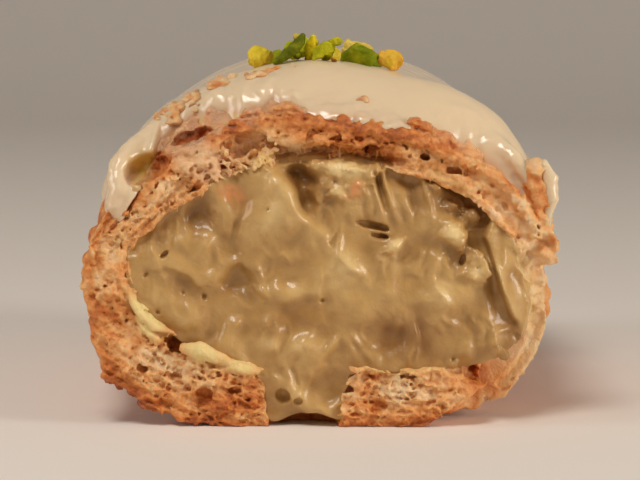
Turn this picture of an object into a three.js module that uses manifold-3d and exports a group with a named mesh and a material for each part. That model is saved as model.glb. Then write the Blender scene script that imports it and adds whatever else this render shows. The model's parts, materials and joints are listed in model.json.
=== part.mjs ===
// One half of a filled eclair, cut across its middle: a baked choux shell, the pistachio cream that
// fills it, and the icing poured over its top, with chopped nuts set in the icing.
// Millimetres, +Z up. The cut face looks along -Y, the round end points along +Y, the foot is at Z 0.

import * as THREE from "three";
import { LoftGeometry } from "three/addons/geometries/LoftGeometry.js";
import { ImprovedNoise } from "three/addons/math/ImprovedNoise.js";
import { mergeVertices } from "three/addons/utils/BufferGeometryUtils.js";
import Module from "manifold-3d";

// The whole piece
const LENGTH = 62;
const HALF_WIDTH = 22.9;
const WAIST = 14.5; // height of the widest line
const CROWN = 34.4; // height of the crust, behind the cut
const TOP_FULLNESS = 2.1; // power of the section's curve above the widest line
const BASE_FULLNESS = 2.8; // power of the curve below it
const FOOT_TRIM = 0.7; // how much of the round underside is taken off flat
const ROUND_END = 22; // length of the rounded end
const END_FULLNESS = 2.3;
const END_WAIST = 11;
const KNIFE_DROP = 2.2; // the knife pressed the top down at the cut
const KNIFE_REACH = 7;
const CLEARANCE = 0.3; // between neighbouring pieces
const RING_SPREAD = 1.25; // rings lie closer together towards the cut

// Choux shell
const AROUND = 68; // points round each ring
const STRAIGHT_RINGS = 12;
const END_RINGS = 8;
const CRAG_SIZE = 4.8;
const CRAG_DEPTH = 1.1;
const FINE_CRAGS = 0.5; // strength of the crags of half that size
const TORN_SIZE = 2.6;
const TORN_DEPTH = 1.1;
const TORN_RINGS = 3; // rings across the torn wall
const SETBACK = { depth: 3.5, angle: -22, spread: 45 }; // the lower right wall broke off further back

// Hollow for the cream, an ellipse with its own middle
const CAVITY = { x: 0.4, z: 16.6, across: 19.2, up: 10.8, down: 11.2 };
const END_WALL = 5;
const CAVITY_END = 16;
const CAVITY_STRAIGHT_RINGS = 7;
const CAVITY_END_RINGS = 5;

// Pores that open on the torn wall: middle, half size across and up, depth
const PORES = [
  { x: -16.3, z: 25.7, across: 2.6, up: 2.1, depth: 4 },
  { x: -12.1, z: 29.4, across: 1.9, up: 0.9, depth: 4 },
  { x: -8.8, z: 28.2, across: 1.3, up: 1.7, depth: 3 },
  { x: -13.8, z: 23.5, across: 1.9, up: 0.9, depth: 3 },
  { x: -20.2, z: 16.5, across: 1.0, up: 1.6, depth: 2 },
  { x: 18.6, z: 22.4, across: 1.0, up: 1.6, depth: 3 },
  { x: 6.3, z: 2.4, across: 1.2, up: 0.9, depth: 3 },
  { x: -9.5, z: 3.1, across: 1.5, up: 0.8, depth: 2 },
];

// Filling hole in the underside, a funnel that the cut passes through
const FILLING_HOLE = { x: -1.4, y: 0.8, top: 5.2, bottom: 3.5, sides: 20 };

// Cream face: swells stand out of the cut and dents go in, each with its middle, radius and depth
const CREAM_RINGS = 10;
const CREAM_EDGE = { fall: 0.9, power: 4 }; // how the face falls away towards its rim
const CREAM_CALM = 6; // power by which its marks fade out at the rim
const CREAM_RIPPLE = { size: 5, depth: 0.35 };
const CREAM_MARKS = [
  { x: -2.8, z: 25.3, radius: 2.6, depth: 2.4 },
  { x: -1.8, z: 22.4, radius: 1.0, depth: 1.2 },
  { x: 5.6, z: 20.0, radius: 1.3, depth: 1.3 },
  { x: -6.5, z: 21.0, radius: 3.4, depth: -1.2 },
  { x: -1.5, z: 17.5, radius: 3.2, depth: -0.9 },
  { x: -8.2, z: 15.3, radius: 1.8, depth: 0.8 },
  { x: -14.0, z: 12.5, radius: 4.0, depth: -0.9 },
  { x: 14.3, z: 19.8, radius: 1.9, depth: -1.3 },
  { x: 8.0, z: 11.0, radius: 4.6, depth: -1.0 },
  { x: 12.0, z: 25.0, radius: 2.6, depth: 1.1 },
];
const SIDE_GROOVE = { depth: 1.5, angle: 8, spread: 26, reach: 8 }; // cream drawn back from the right wall

// Icing, measured in degrees round the section and round the end
const ICING_ACROSS = 34; // points over the top of each ring
const ICING_STRAIGHT_RINGS = 17;
const ICING_END_RINGS = 7;
const ICING_FRONT = 0.6; // behind the cut
const ICING_DEPTH = 1.7;
const ICING_CRAGS = 0.35; // the share of the crust's crags that still shows through the icing
const ICING_FRONT_DEPTH = 0.8; // drawn thin at the cut
const ICING_THICKENS = 7; // behind the cut, where it has its full depth
const ICING_ROLL = 10; // over which the icing rounds down to its edge
const ICING_ROOT = -1.5; // how deep its underside starts before the crust is taken away
const ICING_END_TURN = 64; // where the icing stops, round the end
const ICING_EDGE = { right: 27, left: 150, wave: 3.5, pitch: 3.1 };
const DRIPS = [
  { side: "right", y: 4.2, drop: 24, half: 6.5, bead: 0.8 },
  { side: "left", y: 3.4, drop: 14, half: 6, bead: 0.9 },
  { side: "right", y: 20, drop: 13, half: 6, bead: 0.4 },
  { side: "left", y: 16, drop: 15, half: 6.5, bead: 0.5 },
  { side: "right", y: 34, drop: 15, half: 7, bead: 0.5 },
  { side: "left", y: 30, drop: 10, half: 7, bead: 0.4 },
  { side: "left", y: 42, drop: 12, half: 6, bead: 0.4 },
];

// Chopped nuts on the icing: place, half sizes and tilt in degrees
const NUT_SINK = 0.35;
const NUTS = [
  { x: -5.9, y: 9.5, size: [1.3, 1.1, 1.1], tilt: 20 },
  { x: -2.9, y: 7.8, size: [1.9, 1.0, 1.2], tilt: -38 },
  { x: -1.6, y: 11.5, size: [2.0, 1.2, 1.1], tilt: 12 },
  { x: 0.2, y: 8.6, size: [1.1, 1.0, 1.5], tilt: 30 },
  { x: 1.6, y: 9.3, size: [0.9, 1.0, 1.4], tilt: -15 },
  { x: 4.1, y: 8.4, size: [1.9, 1.3, 1.2], tilt: -8 },
  { x: 3.6, y: 12.2, size: [1.6, 1.2, 1.1], tilt: 16 },
  { x: 7.3, y: 9.6, size: [1.4, 1.2, 1.1], tilt: -22 },
  { x: -4.6, y: 14.6, size: [1.4, 1.3, 0.9], tilt: 40 },
  { x: 1.0, y: 15.8, size: [1.6, 1.1, 1.0], tilt: -30 },
  { x: 5.8, y: 16.4, size: [1.2, 1.4, 0.9], tilt: 10 },
];

const wasm = await Module();
wasm.setup();
const noise = new ImprovedNoise();

function relief(x, y, z, size) {
  return noise.noise(x / size, y / size, z / size);
}

// 1 at the middle of a rise and 0 past its spread, with a smooth foot.
function rise(distance, spread) {
  const share = Math.min(1, Math.abs(distance) / spread);
  return (1 - share * share) ** 2;
}

function degreesBetween(angle, degrees) {
  const apart = THREE.MathUtils.radToDeg(angle) - degrees;
  return THREE.MathUtils.euclideanModulo(apart + 180, 360) - 180;
}

function knifeDrop(y) {
  return KNIFE_DROP * Math.exp(-((y / KNIFE_REACH) ** 2));
}

// Rings along a body that is straight from the cut and then rounds in to a tip: how far back each ring
// lies, its share of the full section and how far its surface has turned to face the tip.
function ringsAlong({ front = 0, length, roundLength, straightRings, endRings, lastTurn = 90 }) {
  const straight = length - roundLength;
  const rings = [];
  for (let i = 0; i < straightRings; i += 1) {
    const y = front + (straight - front) * (i / straightRings) ** RING_SPREAD;
    rings.push({ y, share: 1, turn: 0, along: 0 });
  }
  for (let i = 0; i <= endRings; i += 1) {
    const turn = THREE.MathUtils.degToRad((i / endRings) * lastTurn);
    const along = Math.sin(turn) ** (2 / END_FULLNESS);
    const share = Math.max(0, Math.cos(turn)) ** (2 / END_FULLNESS);
    rings.push({ y: straight + roundLength * along, share, turn, along });
  }
  return rings;
}

function loop(count, point) {
  return Array.from({ length: count }, (_, i) => point((i / count) * 2 * Math.PI));
}

function repeated(count, point) {
  return Array.from({ length: count }, () => point.clone());
}

function crustRadius(angle, y) {
  const up = Math.sin(angle) > 0;
  const power = up ? TOP_FULLNESS : BASE_FULLNESS;
  const height = up ? CROWN - WAIST - knifeDrop(y) : WAIST + FOOT_TRIM;
  const across = Math.abs(Math.cos(angle) / HALF_WIDTH) ** power;
  const upright = Math.abs(Math.sin(angle) / height) ** power;
  return (across + upright) ** (-1 / power);
}

// A point of the crust, lifted off it by a given depth, with all of its crags or a share of them.
function crustPoint(ring, angle, lift, craggy = 1) {
  const waist = THREE.MathUtils.lerp(WAIST, END_WAIST, ring.along ** 2);
  const radius = crustRadius(angle, ring.y) * ring.share;
  const x = radius * Math.cos(angle);
  const z = waist + radius * Math.sin(angle);
  const coarse = relief(x, ring.y, z, CRAG_SIZE);
  const rough = coarse + FINE_CRAGS * relief(x, ring.y, z, CRAG_SIZE / 2);
  const out = CRAG_DEPTH * craggy * rough + lift;
  const outward = out * Math.cos(ring.turn);
  return new THREE.Vector3(
    x + outward * Math.cos(angle),
    ring.y + out * Math.sin(ring.turn),
    z + outward * Math.sin(angle),
  );
}

// How far behind the cutting plane the torn wall lies at a point of it.
function tornDepth(angle, x, z) {
  const setback = SETBACK.depth * rise(degreesBetween(angle, SETBACK.angle), SETBACK.spread);
  return setback + TORN_DEPTH * Math.abs(relief(x, 0, z, TORN_SIZE));
}

function cavityPoint(ring, angle, inset) {
  const up = Math.sin(angle) > 0;
  const height = up ? CAVITY.up + KNIFE_DROP - knifeDrop(ring.y) : CAVITY.down;
  const across = Math.max(0, CAVITY.across * ring.share - inset * Math.cos(ring.turn));
  const upright = Math.max(0, height * ring.share - inset * Math.cos(ring.turn));
  return new THREE.Vector3(
    CAVITY.x + across * Math.cos(angle),
    ring.y - inset * Math.sin(ring.turn),
    CAVITY.z + upright * Math.sin(angle),
  );
}

const CRUST_RINGS = ringsAlong({
  length: LENGTH,
  roundLength: ROUND_END,
  straightRings: STRAIGHT_RINGS,
  endRings: END_RINGS,
});
const CAVITY_RINGS = ringsAlong({
  length: LENGTH - END_WALL,
  roundLength: CAVITY_END,
  straightRings: CAVITY_STRAIGHT_RINGS,
  endRings: CAVITY_END_RINGS,
});
const ICING_RINGS = ringsAlong({
  front: ICING_FRONT,
  length: LENGTH,
  roundLength: ROUND_END,
  straightRings: ICING_STRAIGHT_RINGS,
  endRings: ICING_END_RINGS,
  lastTurn: ICING_END_TURN,
});

function toSolid(geometry) {
  const bare = new THREE.BufferGeometry();
  bare.setAttribute("position", geometry.getAttribute("position"));
  bare.setIndex(geometry.index);
  const merged = mergeVertices(bare);
  return new wasm.Manifold(
    new wasm.Mesh({
      numProp: 3,
      vertProperties: merged.getAttribute("position").array,
      triVerts: new Uint32Array(merged.index.array),
    }),
  );
}

function toGeometry(solid) {
  const mesh = solid.getMesh();
  const geometry = new THREE.BufferGeometry();
  geometry.setAttribute("position", new THREE.BufferAttribute(mesh.vertProperties, mesh.numProp));
  geometry.setIndex(new THREE.BufferAttribute(mesh.triVerts, 1));
  geometry.computeVertexNormals();
  return geometry;
}

// The largest body of a solid, without scraps that a cut left loose.
function mainBody(solid) {
  return solid.decompose().reduce((a, b) => (a.volume() > b.volume() ? a : b));
}

// Rings of the crust from its tip to the cut, lifted off it by a given depth.
function crustSections(lift) {
  return [...CRUST_RINGS].reverse().map((ring, i) => {
    if (i === 0) {
      return repeated(AROUND, crustPoint(ring, Math.PI / 2, lift));
    }
    return loop(AROUND, (angle) => crustPoint(ring, angle, lift));
  });
}

function pore({ x, z, across, up, depth }) {
  const ball = new THREE.IcosahedronGeometry(1, 1);
  ball.scale(across, depth, up);
  ball.translate(x, 0, z);
  return toSolid(ball);
}

// The filling hole from the foot up into the cavity, or the cream in it, which stays clear of its wall.
function fillingFunnel(clearance) {
  const bottom = clearance > 0 ? clearance : -FOOT_TRIM;
  const top = CAVITY.z - CAVITY.down / 2;
  const { x, y, sides } = FILLING_HOLE;
  const wide = FILLING_HOLE.top - clearance;
  const narrow = FILLING_HOLE.bottom - clearance;
  const funnel = new THREE.CylinderGeometry(wide, narrow, top - bottom, sides);
  funnel.rotateX(Math.PI / 2);
  funnel.translate(x, y, (top + bottom) / 2);
  return toSolid(funnel);
}

// A box that takes away everything on one side of a plane through the origin.
function trimBox(towards) {
  const side = 2 * LENGTH;
  const box = new THREE.BoxGeometry(side, side, side);
  const { x, y, z } = towards.clone().multiplyScalar(side / 2);
  box.translate(x, y, z);
  return toSolid(box);
}

function makeShell() {
  const outside = crustSections(0);
  outside.slice(1).forEach((section) => {
    section.forEach((point, k) => {
      const pushedBack = Math.max(0, 1 - point.y / (LENGTH - ROUND_END));
      point.y += pushedBack * tornDepth((k / AROUND) * 2 * Math.PI, point.x, point.z);
    });
  });
  const cavity = CAVITY_RINGS.map((ring) => {
    if (ring === CAVITY_RINGS.at(-1)) {
      return repeated(AROUND, cavityPoint(ring, 0, 0));
    }
    return loop(AROUND, (angle) => {
      const point = cavityPoint(ring, angle, 0);
      const pushedBack = Math.max(0, 1 - ring.y / (LENGTH - END_WALL - CAVITY_END));
      point.y += pushedBack * tornDepth(angle, point.x, point.z);
      return point;
    });
  });
  const outerRim = outside.at(-1);
  const torn = [];
  for (let i = 1; i <= TORN_RINGS; i += 1) {
    const share = i / (TORN_RINGS + 1);
    torn.push(
      outerRim.map((point, k) => {
        const between = point.clone().lerp(cavity[0][k], share);
        between.y = tornDepth((k / AROUND) * 2 * Math.PI, between.x, between.z);
        return between;
      }),
    );
  }
  let solid = toSolid(new LoftGeometry([...outside, ...torn, ...cavity]));
  PORES.forEach((hollow) => {
    solid = solid.subtract(pore(hollow));
  });
  solid = solid.subtract(fillingFunnel(0));
  return mainBody(solid.subtract(trimBox(new THREE.Vector3(0, 0, -1))));
}

// How far behind the cutting plane the cream's face lies, at a point a given share of the way to its rim.
function creamFace(x, z, share) {
  const marks = CREAM_MARKS.map(
    (mark) => mark.depth * Math.exp(-((x - mark.x) ** 2 + (z - mark.z) ** 2) / mark.radius ** 2),
  );
  const ripple = CREAM_RIPPLE.depth * relief(x, 0, z, CREAM_RIPPLE.size);
  const marked = marks.reduce((a, b) => a + b, ripple) * (1 - share ** CREAM_CALM);
  return marked + CREAM_EDGE.fall * share ** CREAM_EDGE.power;
}

function makeCream() {
  const sides = [...CAVITY_RINGS].reverse().map((ring, i) => {
    if (i === 0) {
      return repeated(AROUND, cavityPoint(ring, 0, CLEARANCE));
    }
    return loop(AROUND, (angle) => {
      const groove = rise(degreesBetween(angle, SIDE_GROOVE.angle), SIDE_GROOVE.spread);
      const drawnBack = SIDE_GROOVE.depth * groove * Math.max(0, 1 - ring.y / SIDE_GROOVE.reach);
      return cavityPoint(ring, angle, CLEARANCE + drawnBack);
    });
  });
  const rim = sides.at(-1);
  const middle = new THREE.Vector3(CAVITY.x, 0, CAVITY.z);
  rim.forEach((point) => {
    point.y = creamFace(point.x, point.z, 1);
  });
  const face = [];
  for (let i = 1; i <= CREAM_RINGS; i += 1) {
    const share = 1 - i / CREAM_RINGS;
    face.push(
      rim.map((point) => {
        const spot = middle.clone().lerp(point, share);
        spot.y = creamFace(spot.x, spot.z, share);
        return spot;
      }),
    );
  }
  const body = toSolid(new LoftGeometry([...sides, ...face]));
  const front = trimBox(new THREE.Vector3(0, -1, 0));
  return mainBody(body.add(fillingFunnel(CLEARANCE).subtract(front)));
}

// Where the icing ends on each side of a ring, in degrees, with its drips.
function icingEdges(y) {
  const edges = {
    right: ICING_EDGE.right + ICING_EDGE.wave * Math.sin(y / ICING_EDGE.pitch),
    left: ICING_EDGE.left + ICING_EDGE.wave * Math.cos(y / ICING_EDGE.pitch),
  };
  DRIPS.forEach((drip) => {
    const down = drip.side === "left" ? drip.drop : -drip.drop;
    edges[drip.side] += down * rise(y - drip.y, drip.half);
  });
  return edges;
}

// Depth of the icing over the crust: thin at the cut, with beaded drips, rounded down at its edges.
function icingDepth({ y, turn }, edges, degrees) {
  const behind = Math.min(1, y / ICING_THICKENS);
  const onTop = Math.sin(THREE.MathUtils.degToRad(degrees)) ** 2;
  const thin = (ICING_DEPTH - ICING_FRONT_DEPTH) * (1 - behind) * onTop;
  const fromEdge = { right: degrees - edges.right, left: edges.left - degrees };
  const beads = DRIPS.map(({ side, bead, half, y: middle }) => {
    const atTip = rise(fromEdge[side] - ICING_ROLL, 2 * ICING_ROLL);
    return bead * rise(y - middle, half) * atTip;
  });
  const depth = beads.reduce((a, b) => a + b, ICING_DEPTH - thin);
  const inside = Math.min(fromEdge.right, fromEdge.left, ICING_END_TURN - THREE.MathUtils.radToDeg(turn));
  const rolled = THREE.MathUtils.clamp(inside / ICING_ROLL, 0, 1);
  return CLEARANCE + depth * Math.sqrt(rolled * (2 - rolled));
}

// A crescent over the top of a ring: its outside from right to left, then its underside back.
function icingSection(ring) {
  const edges = icingEdges(ring.y);
  const outside = [];
  const underside = [];
  for (let i = 0; i <= ICING_ACROSS; i += 1) {
    const even = i / ICING_ACROSS;
    const crowded = (1 - Math.cos(Math.PI * even)) / 2; // closer together towards the edges
    const degrees = THREE.MathUtils.lerp(edges.right, edges.left, (even + crowded) / 2);
    const angle = THREE.MathUtils.degToRad(degrees);
    const depth = icingDepth(ring, edges, degrees);
    outside.push(crustPoint(ring, angle, depth, ICING_CRAGS));
    underside.unshift(crustPoint(ring, angle, ICING_ROOT, ICING_CRAGS));
  }
  return [...outside, ...underside];
}

// Height of the icing above the foot at a place near the middle line.
function icingHeight(x, y) {
  const height = CROWN - WAIST - knifeDrop(y);
  const share = 1 - Math.abs(x / HALF_WIDTH) ** TOP_FULLNESS;
  return WAIST + height * share ** (1 / TOP_FULLNESS) + ICING_DEPTH;
}

function nut({ x, y, size, tilt }) {
  const chunk = new THREE.DodecahedronGeometry(1, 0);
  chunk.scale(...size);
  chunk.rotateY(THREE.MathUtils.degToRad(tilt));
  chunk.rotateZ(THREE.MathUtils.degToRad(2 * tilt));
  chunk.translate(x, y, icingHeight(x, y) + size[2] - NUT_SINK);
  return toSolid(chunk);
}

// The crust with a little room round it, run on past the cut.
function crustWithRoom() {
  const sections = crustSections(CLEARANCE);
  const ahead = sections.at(-1).map((point) => point.clone().setY(-ROUND_END));
  return toSolid(new LoftGeometry([...sections, ahead], { capEnd: true }));
}

function makeIcing() {
  const sections = [...ICING_RINGS].reverse().map(icingSection);
  let solid = toSolid(new LoftGeometry(sections, { capStart: true, capEnd: true }));
  NUTS.forEach((piece) => {
    solid = solid.add(nut(piece));
  });
  return mainBody(solid.subtract(crustWithRoom()));
}

function piece(name, solid, color, roughness) {
  const material = new THREE.MeshStandardMaterial({ color, roughness, metalness: 0 });
  const mesh = new THREE.Mesh(toGeometry(solid), material);
  mesh.name = name;
  return mesh;
}

const eclair = new THREE.Group();
eclair.add(piece("choux_shell", makeShell(), 0xc48a4c, 0.85));
eclair.add(piece("pistachio_cream", makeCream(), 0xad8450, 0.35));
eclair.add(piece("icing", makeIcing(), 0xd8b994, 0.3));
eclair.position.y = -LENGTH / 2; // the middle of the length over the origin

export default eclair;
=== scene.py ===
import json
import math

import bmesh
import bpy
import numpy as np
import openvdb
from mathutils import Matrix, Vector


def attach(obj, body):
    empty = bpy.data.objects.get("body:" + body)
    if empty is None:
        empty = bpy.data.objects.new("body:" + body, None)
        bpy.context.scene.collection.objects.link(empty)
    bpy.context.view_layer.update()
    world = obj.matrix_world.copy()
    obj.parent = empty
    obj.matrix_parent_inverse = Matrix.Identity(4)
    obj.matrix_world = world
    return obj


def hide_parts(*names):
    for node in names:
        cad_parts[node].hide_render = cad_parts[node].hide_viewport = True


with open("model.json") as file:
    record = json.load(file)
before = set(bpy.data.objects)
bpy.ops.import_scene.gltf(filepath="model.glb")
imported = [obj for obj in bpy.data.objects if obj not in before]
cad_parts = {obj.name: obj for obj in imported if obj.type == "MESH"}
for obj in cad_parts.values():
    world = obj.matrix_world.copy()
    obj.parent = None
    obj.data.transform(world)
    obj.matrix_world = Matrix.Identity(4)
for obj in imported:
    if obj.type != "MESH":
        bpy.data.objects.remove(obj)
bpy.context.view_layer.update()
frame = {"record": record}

# Choux shell
# The baked pastry: a hollow crust of egg-rich choux, piped on a tray and split into crags in the oven.
# The knife went through it here, so its wall shows as torn crumb with pores, and the filling hole below.
# Sizes are in mm: x to the right from the middle of the cut, y behind the cut, z above the foot.
MM = 0.001
LENGTH = 62.0
HALF_WIDTH = 22.9
WAIST = 14.5
CROWN = 34.4
TOP_FULLNESS = 2.0
BASE_FULLNESS = 2.8
FOOT_TRIM = 0.7
ROUND_END = 22.0
END_FULLNESS = 2.3
END_WAIST = 11.0
KNIFE_DROP = 3.4
KNIFE_REACH = 4.8
MEAN_RADIUS = 18.0
WALL_RADIUS = 17.0
CAVITY = {"x": 0.4, "z": 16.6, "across": 19.2, "up": 9.8, "down": 11.2, "end": 57.0, "round": 16.0}
LOBE = {"x": 9.0, "z": 12.0, "across": 11.6, "up": 6.2, "power": 2.6, "back": 4.6}
FILLING_HOLE = {"x": -1.4, "y": 0.8, "top": 5.2, "bottom": 3.6, "upto": 11.0}
LEAN = {"angle": 156.0, "spread": 26.0, "depth": 1.1}
SOAKED = {"x": -12.0, "z": 26.8, "along": 5.4, "across": 2.6}
BASE_MOUNT_BEHIND_CUT = 30.0
CUT_Y = frame["record"]["mounts"][0]["pos_m"][1] / MM - BASE_MOUNT_BEHIND_CUT
MOST_TRIANGLES = 190000


def rise(distance, spread):
    """1 in the middle of a rise and 0 past its spread, with a smooth foot."""
    share = np.minimum(1.0, np.abs(distance) / spread)
    return (1.0 - share * share) ** 2


def ramp(value, low, high):
    """0 below low, 1 above high, smooth between."""
    share = np.clip((value - low) / (high - low), 0.0, 1.0)
    return share * share * (3.0 - 2.0 * share)


def lumps(x, y, z, size, seed):
    """Smooth random relief, mostly within -1 to 1, with lumps of a given size."""
    count = 32
    slopes = np.random.default_rng(seed).normal(size=(count, count, count, 3)).astype(np.float32)
    spots = [np.asarray(v, np.float32) / size for v in (x, y, z)]
    corners = [np.floor(v).astype(np.int32) for v in spots]
    parts = [v - c for v, c in zip(spots, corners)]
    fades = [p * p * p * (p * (p * 6.0 - 15.0) + 10.0) for p in parts]
    total = 0.0
    for i in (0, 1):
        for j in (0, 1):
            for k in (0, 1):
                slope = slopes[(corners[0] + i) % count, (corners[1] + j) % count, (corners[2] + k) % count]
                weight = 1.0
                for step, fade in zip((i, j, k), fades):
                    weight = weight * (fade if step else 1.0 - fade)
                lean = (slope[..., 0] * (parts[0] - i) + slope[..., 1] * (parts[1] - j)
                        + slope[..., 2] * (parts[2] - k))
                total = total + weight * lean
    return total


def crust_level(x, y, z):
    """How far a point lies outside the smooth crust, in mm, or inside it below 0."""
    behind = np.maximum(y, 0.0)
    along = np.maximum(0.0, (behind - (LENGTH - ROUND_END)) / ROUND_END)
    waist = WAIST + (END_WAIST - WAIST) * np.minimum(1.0, along) ** 2
    top = CROWN - WAIST - KNIFE_DROP * np.exp(-((behind / KNIFE_REACH) ** 2))
    above = z - waist
    up = above > 0
    power = np.where(up, TOP_FULLNESS, BASE_FULLNESS)
    height = np.where(up, top, WAIST + FOOT_TRIM)
    section = ((np.abs(x) / HALF_WIDTH) ** power + (np.abs(above) / height) ** power) ** (1.0 / power)
    level = (section ** END_FULLNESS + along ** END_FULLNESS) ** (1.0 / END_FULLNESS)
    return (level - 1.0) * MEAN_RADIUS


def cavity_level(x, y, z):
    """How far a point lies outside the hollow for the cream, in mm, or inside it below 0."""
    behind = np.maximum(y, 0.0)
    along = np.maximum(0.0, (behind - (CAVITY["end"] - CAVITY["round"])) / CAVITY["round"])
    above = z - CAVITY["z"]
    lift = KNIFE_DROP * (1.0 - np.exp(-((behind / KNIFE_REACH) ** 2)))
    height = np.where(above > 0, CAVITY["up"] + lift, CAVITY["down"])
    section = np.sqrt(((x - CAVITY["x"]) / CAVITY["across"]) ** 2 + (above / height) ** 2)
    level = (section ** END_FULLNESS + along ** END_FULLNESS) ** (1.0 / END_FULLNESS)
    return (level - 1.0) * 0.5 * (CAVITY["across"] + CAVITY["up"])


def funnel_level(x, y, z):
    """How far a point lies outside the filling hole, in mm."""
    share = np.clip(z / FILLING_HOLE["upto"], 0.0, 1.0)
    radius = FILLING_HOLE["bottom"] + (FILLING_HOLE["top"] - FILLING_HOLE["bottom"]) * share
    away = np.sqrt((x - FILLING_HOLE["x"]) ** 2 + (y - FILLING_HOLE["y"]) ** 2)
    return np.maximum(away - radius, z - FILLING_HOLE["upto"])


def lobe_level(x, z):
    """How far a point of the cut lies outside the lobe of cream that swells out at the lower right, in mm."""
    across, up = np.abs(x - LOBE["x"]) / LOBE["across"], np.abs(z - LOBE["z"]) / LOBE["up"]
    return ((across ** LOBE["power"] + up ** LOBE["power"]) ** (1.0 / LOBE["power"]) - 1.0) * LOBE["up"]


def wall_angle(x, z):
    """Direction from the middle of the hollow, in degrees: 0 to the right, 90 up."""
    return np.degrees(np.arctan2(z - CAVITY["z"], x - CAVITY["x"]))


def lean_in(x, z):
    """How far the torn wall leans in over the cream at the upper left, in mm."""
    return LEAN["depth"] * rise(wall_angle(x, z) - LEAN["angle"], LEAN["spread"])


def opening_level(x, z):
    """How far a point of the cut lies outside the cream, in mm."""
    return np.minimum(cavity_level(x, np.zeros_like(x), z) + lean_in(x, z), lobe_level(x, z))


def crag_height(x, y, z):
    """Relief of the baked crust, in mm: broad swells, knobs with cracks between them, and fine grain."""
    swell = 0.5 * lumps(x, y, z, 5.2, 11)
    knob = 0.95 * np.abs(lumps(x, y, z, 2.9, 12)) - 0.25
    small = 0.3 * lumps(x, y, z, 1.4, 13)
    grain = 0.15 * lumps(x, y, z, 0.65, 14)
    return swell + knob + small + grain


def round_wall(x, z):
    """Length along the wall round the hollow, from its top, and distance out from the hollow, in mm."""
    along = np.arctan2(x - CAVITY["x"], z - CAVITY["z"]) * WALL_RADIUS
    return along, opening_level(x, z)


def even_side(angle):
    """1 on the right wall, which tore smoothly, and 0 on the rest."""
    return ramp(angle, -50.0, -38.0) * (1.0 - ramp(angle, 35.0, 60.0))


def glazed_wall(x, z):
    """1 where icing soaked into the torn wall at the upper left and made it smooth, and 0 elsewhere."""
    beside, above = x - SOAKED["x"], z - SOAKED["z"]
    along = beside * 0.93 - above * 0.37
    across = above * 0.93 + beside * 0.37
    return rise(np.hypot(along / SOAKED["along"], across / SOAKED["across"]), 1.0)


def torn_depth(x, z):
    """How far behind the cutting plane the torn wall lies, in mm."""
    flat = np.zeros_like(x)
    along, out = round_wall(x, z)
    angle = wall_angle(x, z)
    ragged = lumps(x, flat, z, 1.5, 21)
    frayed = angle + 5.0 * ragged
    coarse = 1.0 - 0.8 * even_side(angle)
    depth = 0.5 + 0.35 * lumps(x, flat, z, 4.0, 22) + 0.22 * coarse * ragged
    depth += 0.26 * coarse * lumps(0.3 * along, flat, 1.7 * out, 0.9, 23)
    coarse *= 0.6 + 0.6 * ramp(lumps(x, flat, z, 3.0, 36), -0.5, 0.5)
    coarse *= 1.0 - 0.75 * glazed_wall(x, z)
    # webs of crumb that stand proud
    for size, height, seed in ((1.7, 0.3, 24), (0.9, 0.24, 25)):
        web = np.abs(lumps(0.7 * along, 0.3 * along, 1.2 * out, size, seed))
        depth -= coarse * height * (1.0 - ramp(web, 0.0, 0.22))
    # the wall that broke off further back at the lower right, and the groove under the crown
    edge = ramp(crust_level(x, flat, z), -2.6, 0.0)
    broken_off = ramp(frayed, -40.0, -35.0) * (1.0 - ramp(frayed, -24.0, 14.0))
    depth += broken_off * (4.0 + 2.0 * edge) + 0.3 * edge
    depth += 2.2 * rise(out - 1.3, 2.1) * ramp(frayed, 48.0, 60.0) * (1.0 - ramp(frayed, 108.0, 122.0))
    return depth


ICING_START = [
    # where the poured icing begins: place across, distance behind the cut
    (-24.0, 0.0), (-17.8, 0.2), (-16.6, 1.4), (-15.8, 4.6), (-14.4, 6.0), (-13.0, 5.8), (-11.0, 4.8),
    (-9.4, 4.2), (-7.5, 3.0), (-5.6, 3.3), (-4.4, 3.5), (-2.8, 2.2), (-1.0, 0.9), (1.0, 0.4), (3.2, 0.6),
    (4.6, 0.3), (6.7, 0.0), (9.0, 0.4), (10.2, 1.0), (12.0, 1.5), (14.0, 2.4), (16.0, 2.8), (18.0, 2.2),
    (19.5, 1.7), (20.5, 1.6), (22.0, 2.0), (24.0, 2.0),
]


def icing_start(x):
    """How far behind the cut the icing begins, with an uneven edge, in mm."""
    flat = np.zeros_like(x)
    wander = 0.3 * lumps(x, flat, flat, 1.6, 77) + 0.08 * lumps(x, flat, flat, 0.7, 78)
    return np.interp(x, *zip(*ICING_START)) + wander


def iced(x, y, z):
    """1 where the icing covers the crust, and 0 where the crust is bare."""
    angle = np.degrees(np.arctan2(z - WAIST, x))
    sides = ramp(angle, 36.0, 44.0) * (1.0 - ramp(angle, 136.0, 144.0))
    return ramp(y - icing_start(x), 0.2, 1.4) * sides


def crust_relief(x, y, z):
    """The crags of the bare crust, sunk below the icing where it is covered."""
    cover = iced(x, y, z)
    return crag_height(x, y, z) * (1.0 - 0.75 * cover) - 0.4 * cover


def turned(x, z, middle, tilt):
    """Places along and across a way that is tilted up from the right, from a middle, in mm."""
    turn = math.radians(tilt)
    beside, above = x - middle[0], z - middle[1]
    along = beside * math.cos(turn) + above * math.sin(turn)
    return along, above * math.cos(turn) - beside * math.sin(turn)


def at_place(level, *place):
    """What a form gives at a single place."""
    return float(level(*(np.array([value]) for value in place))[0])


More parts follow.
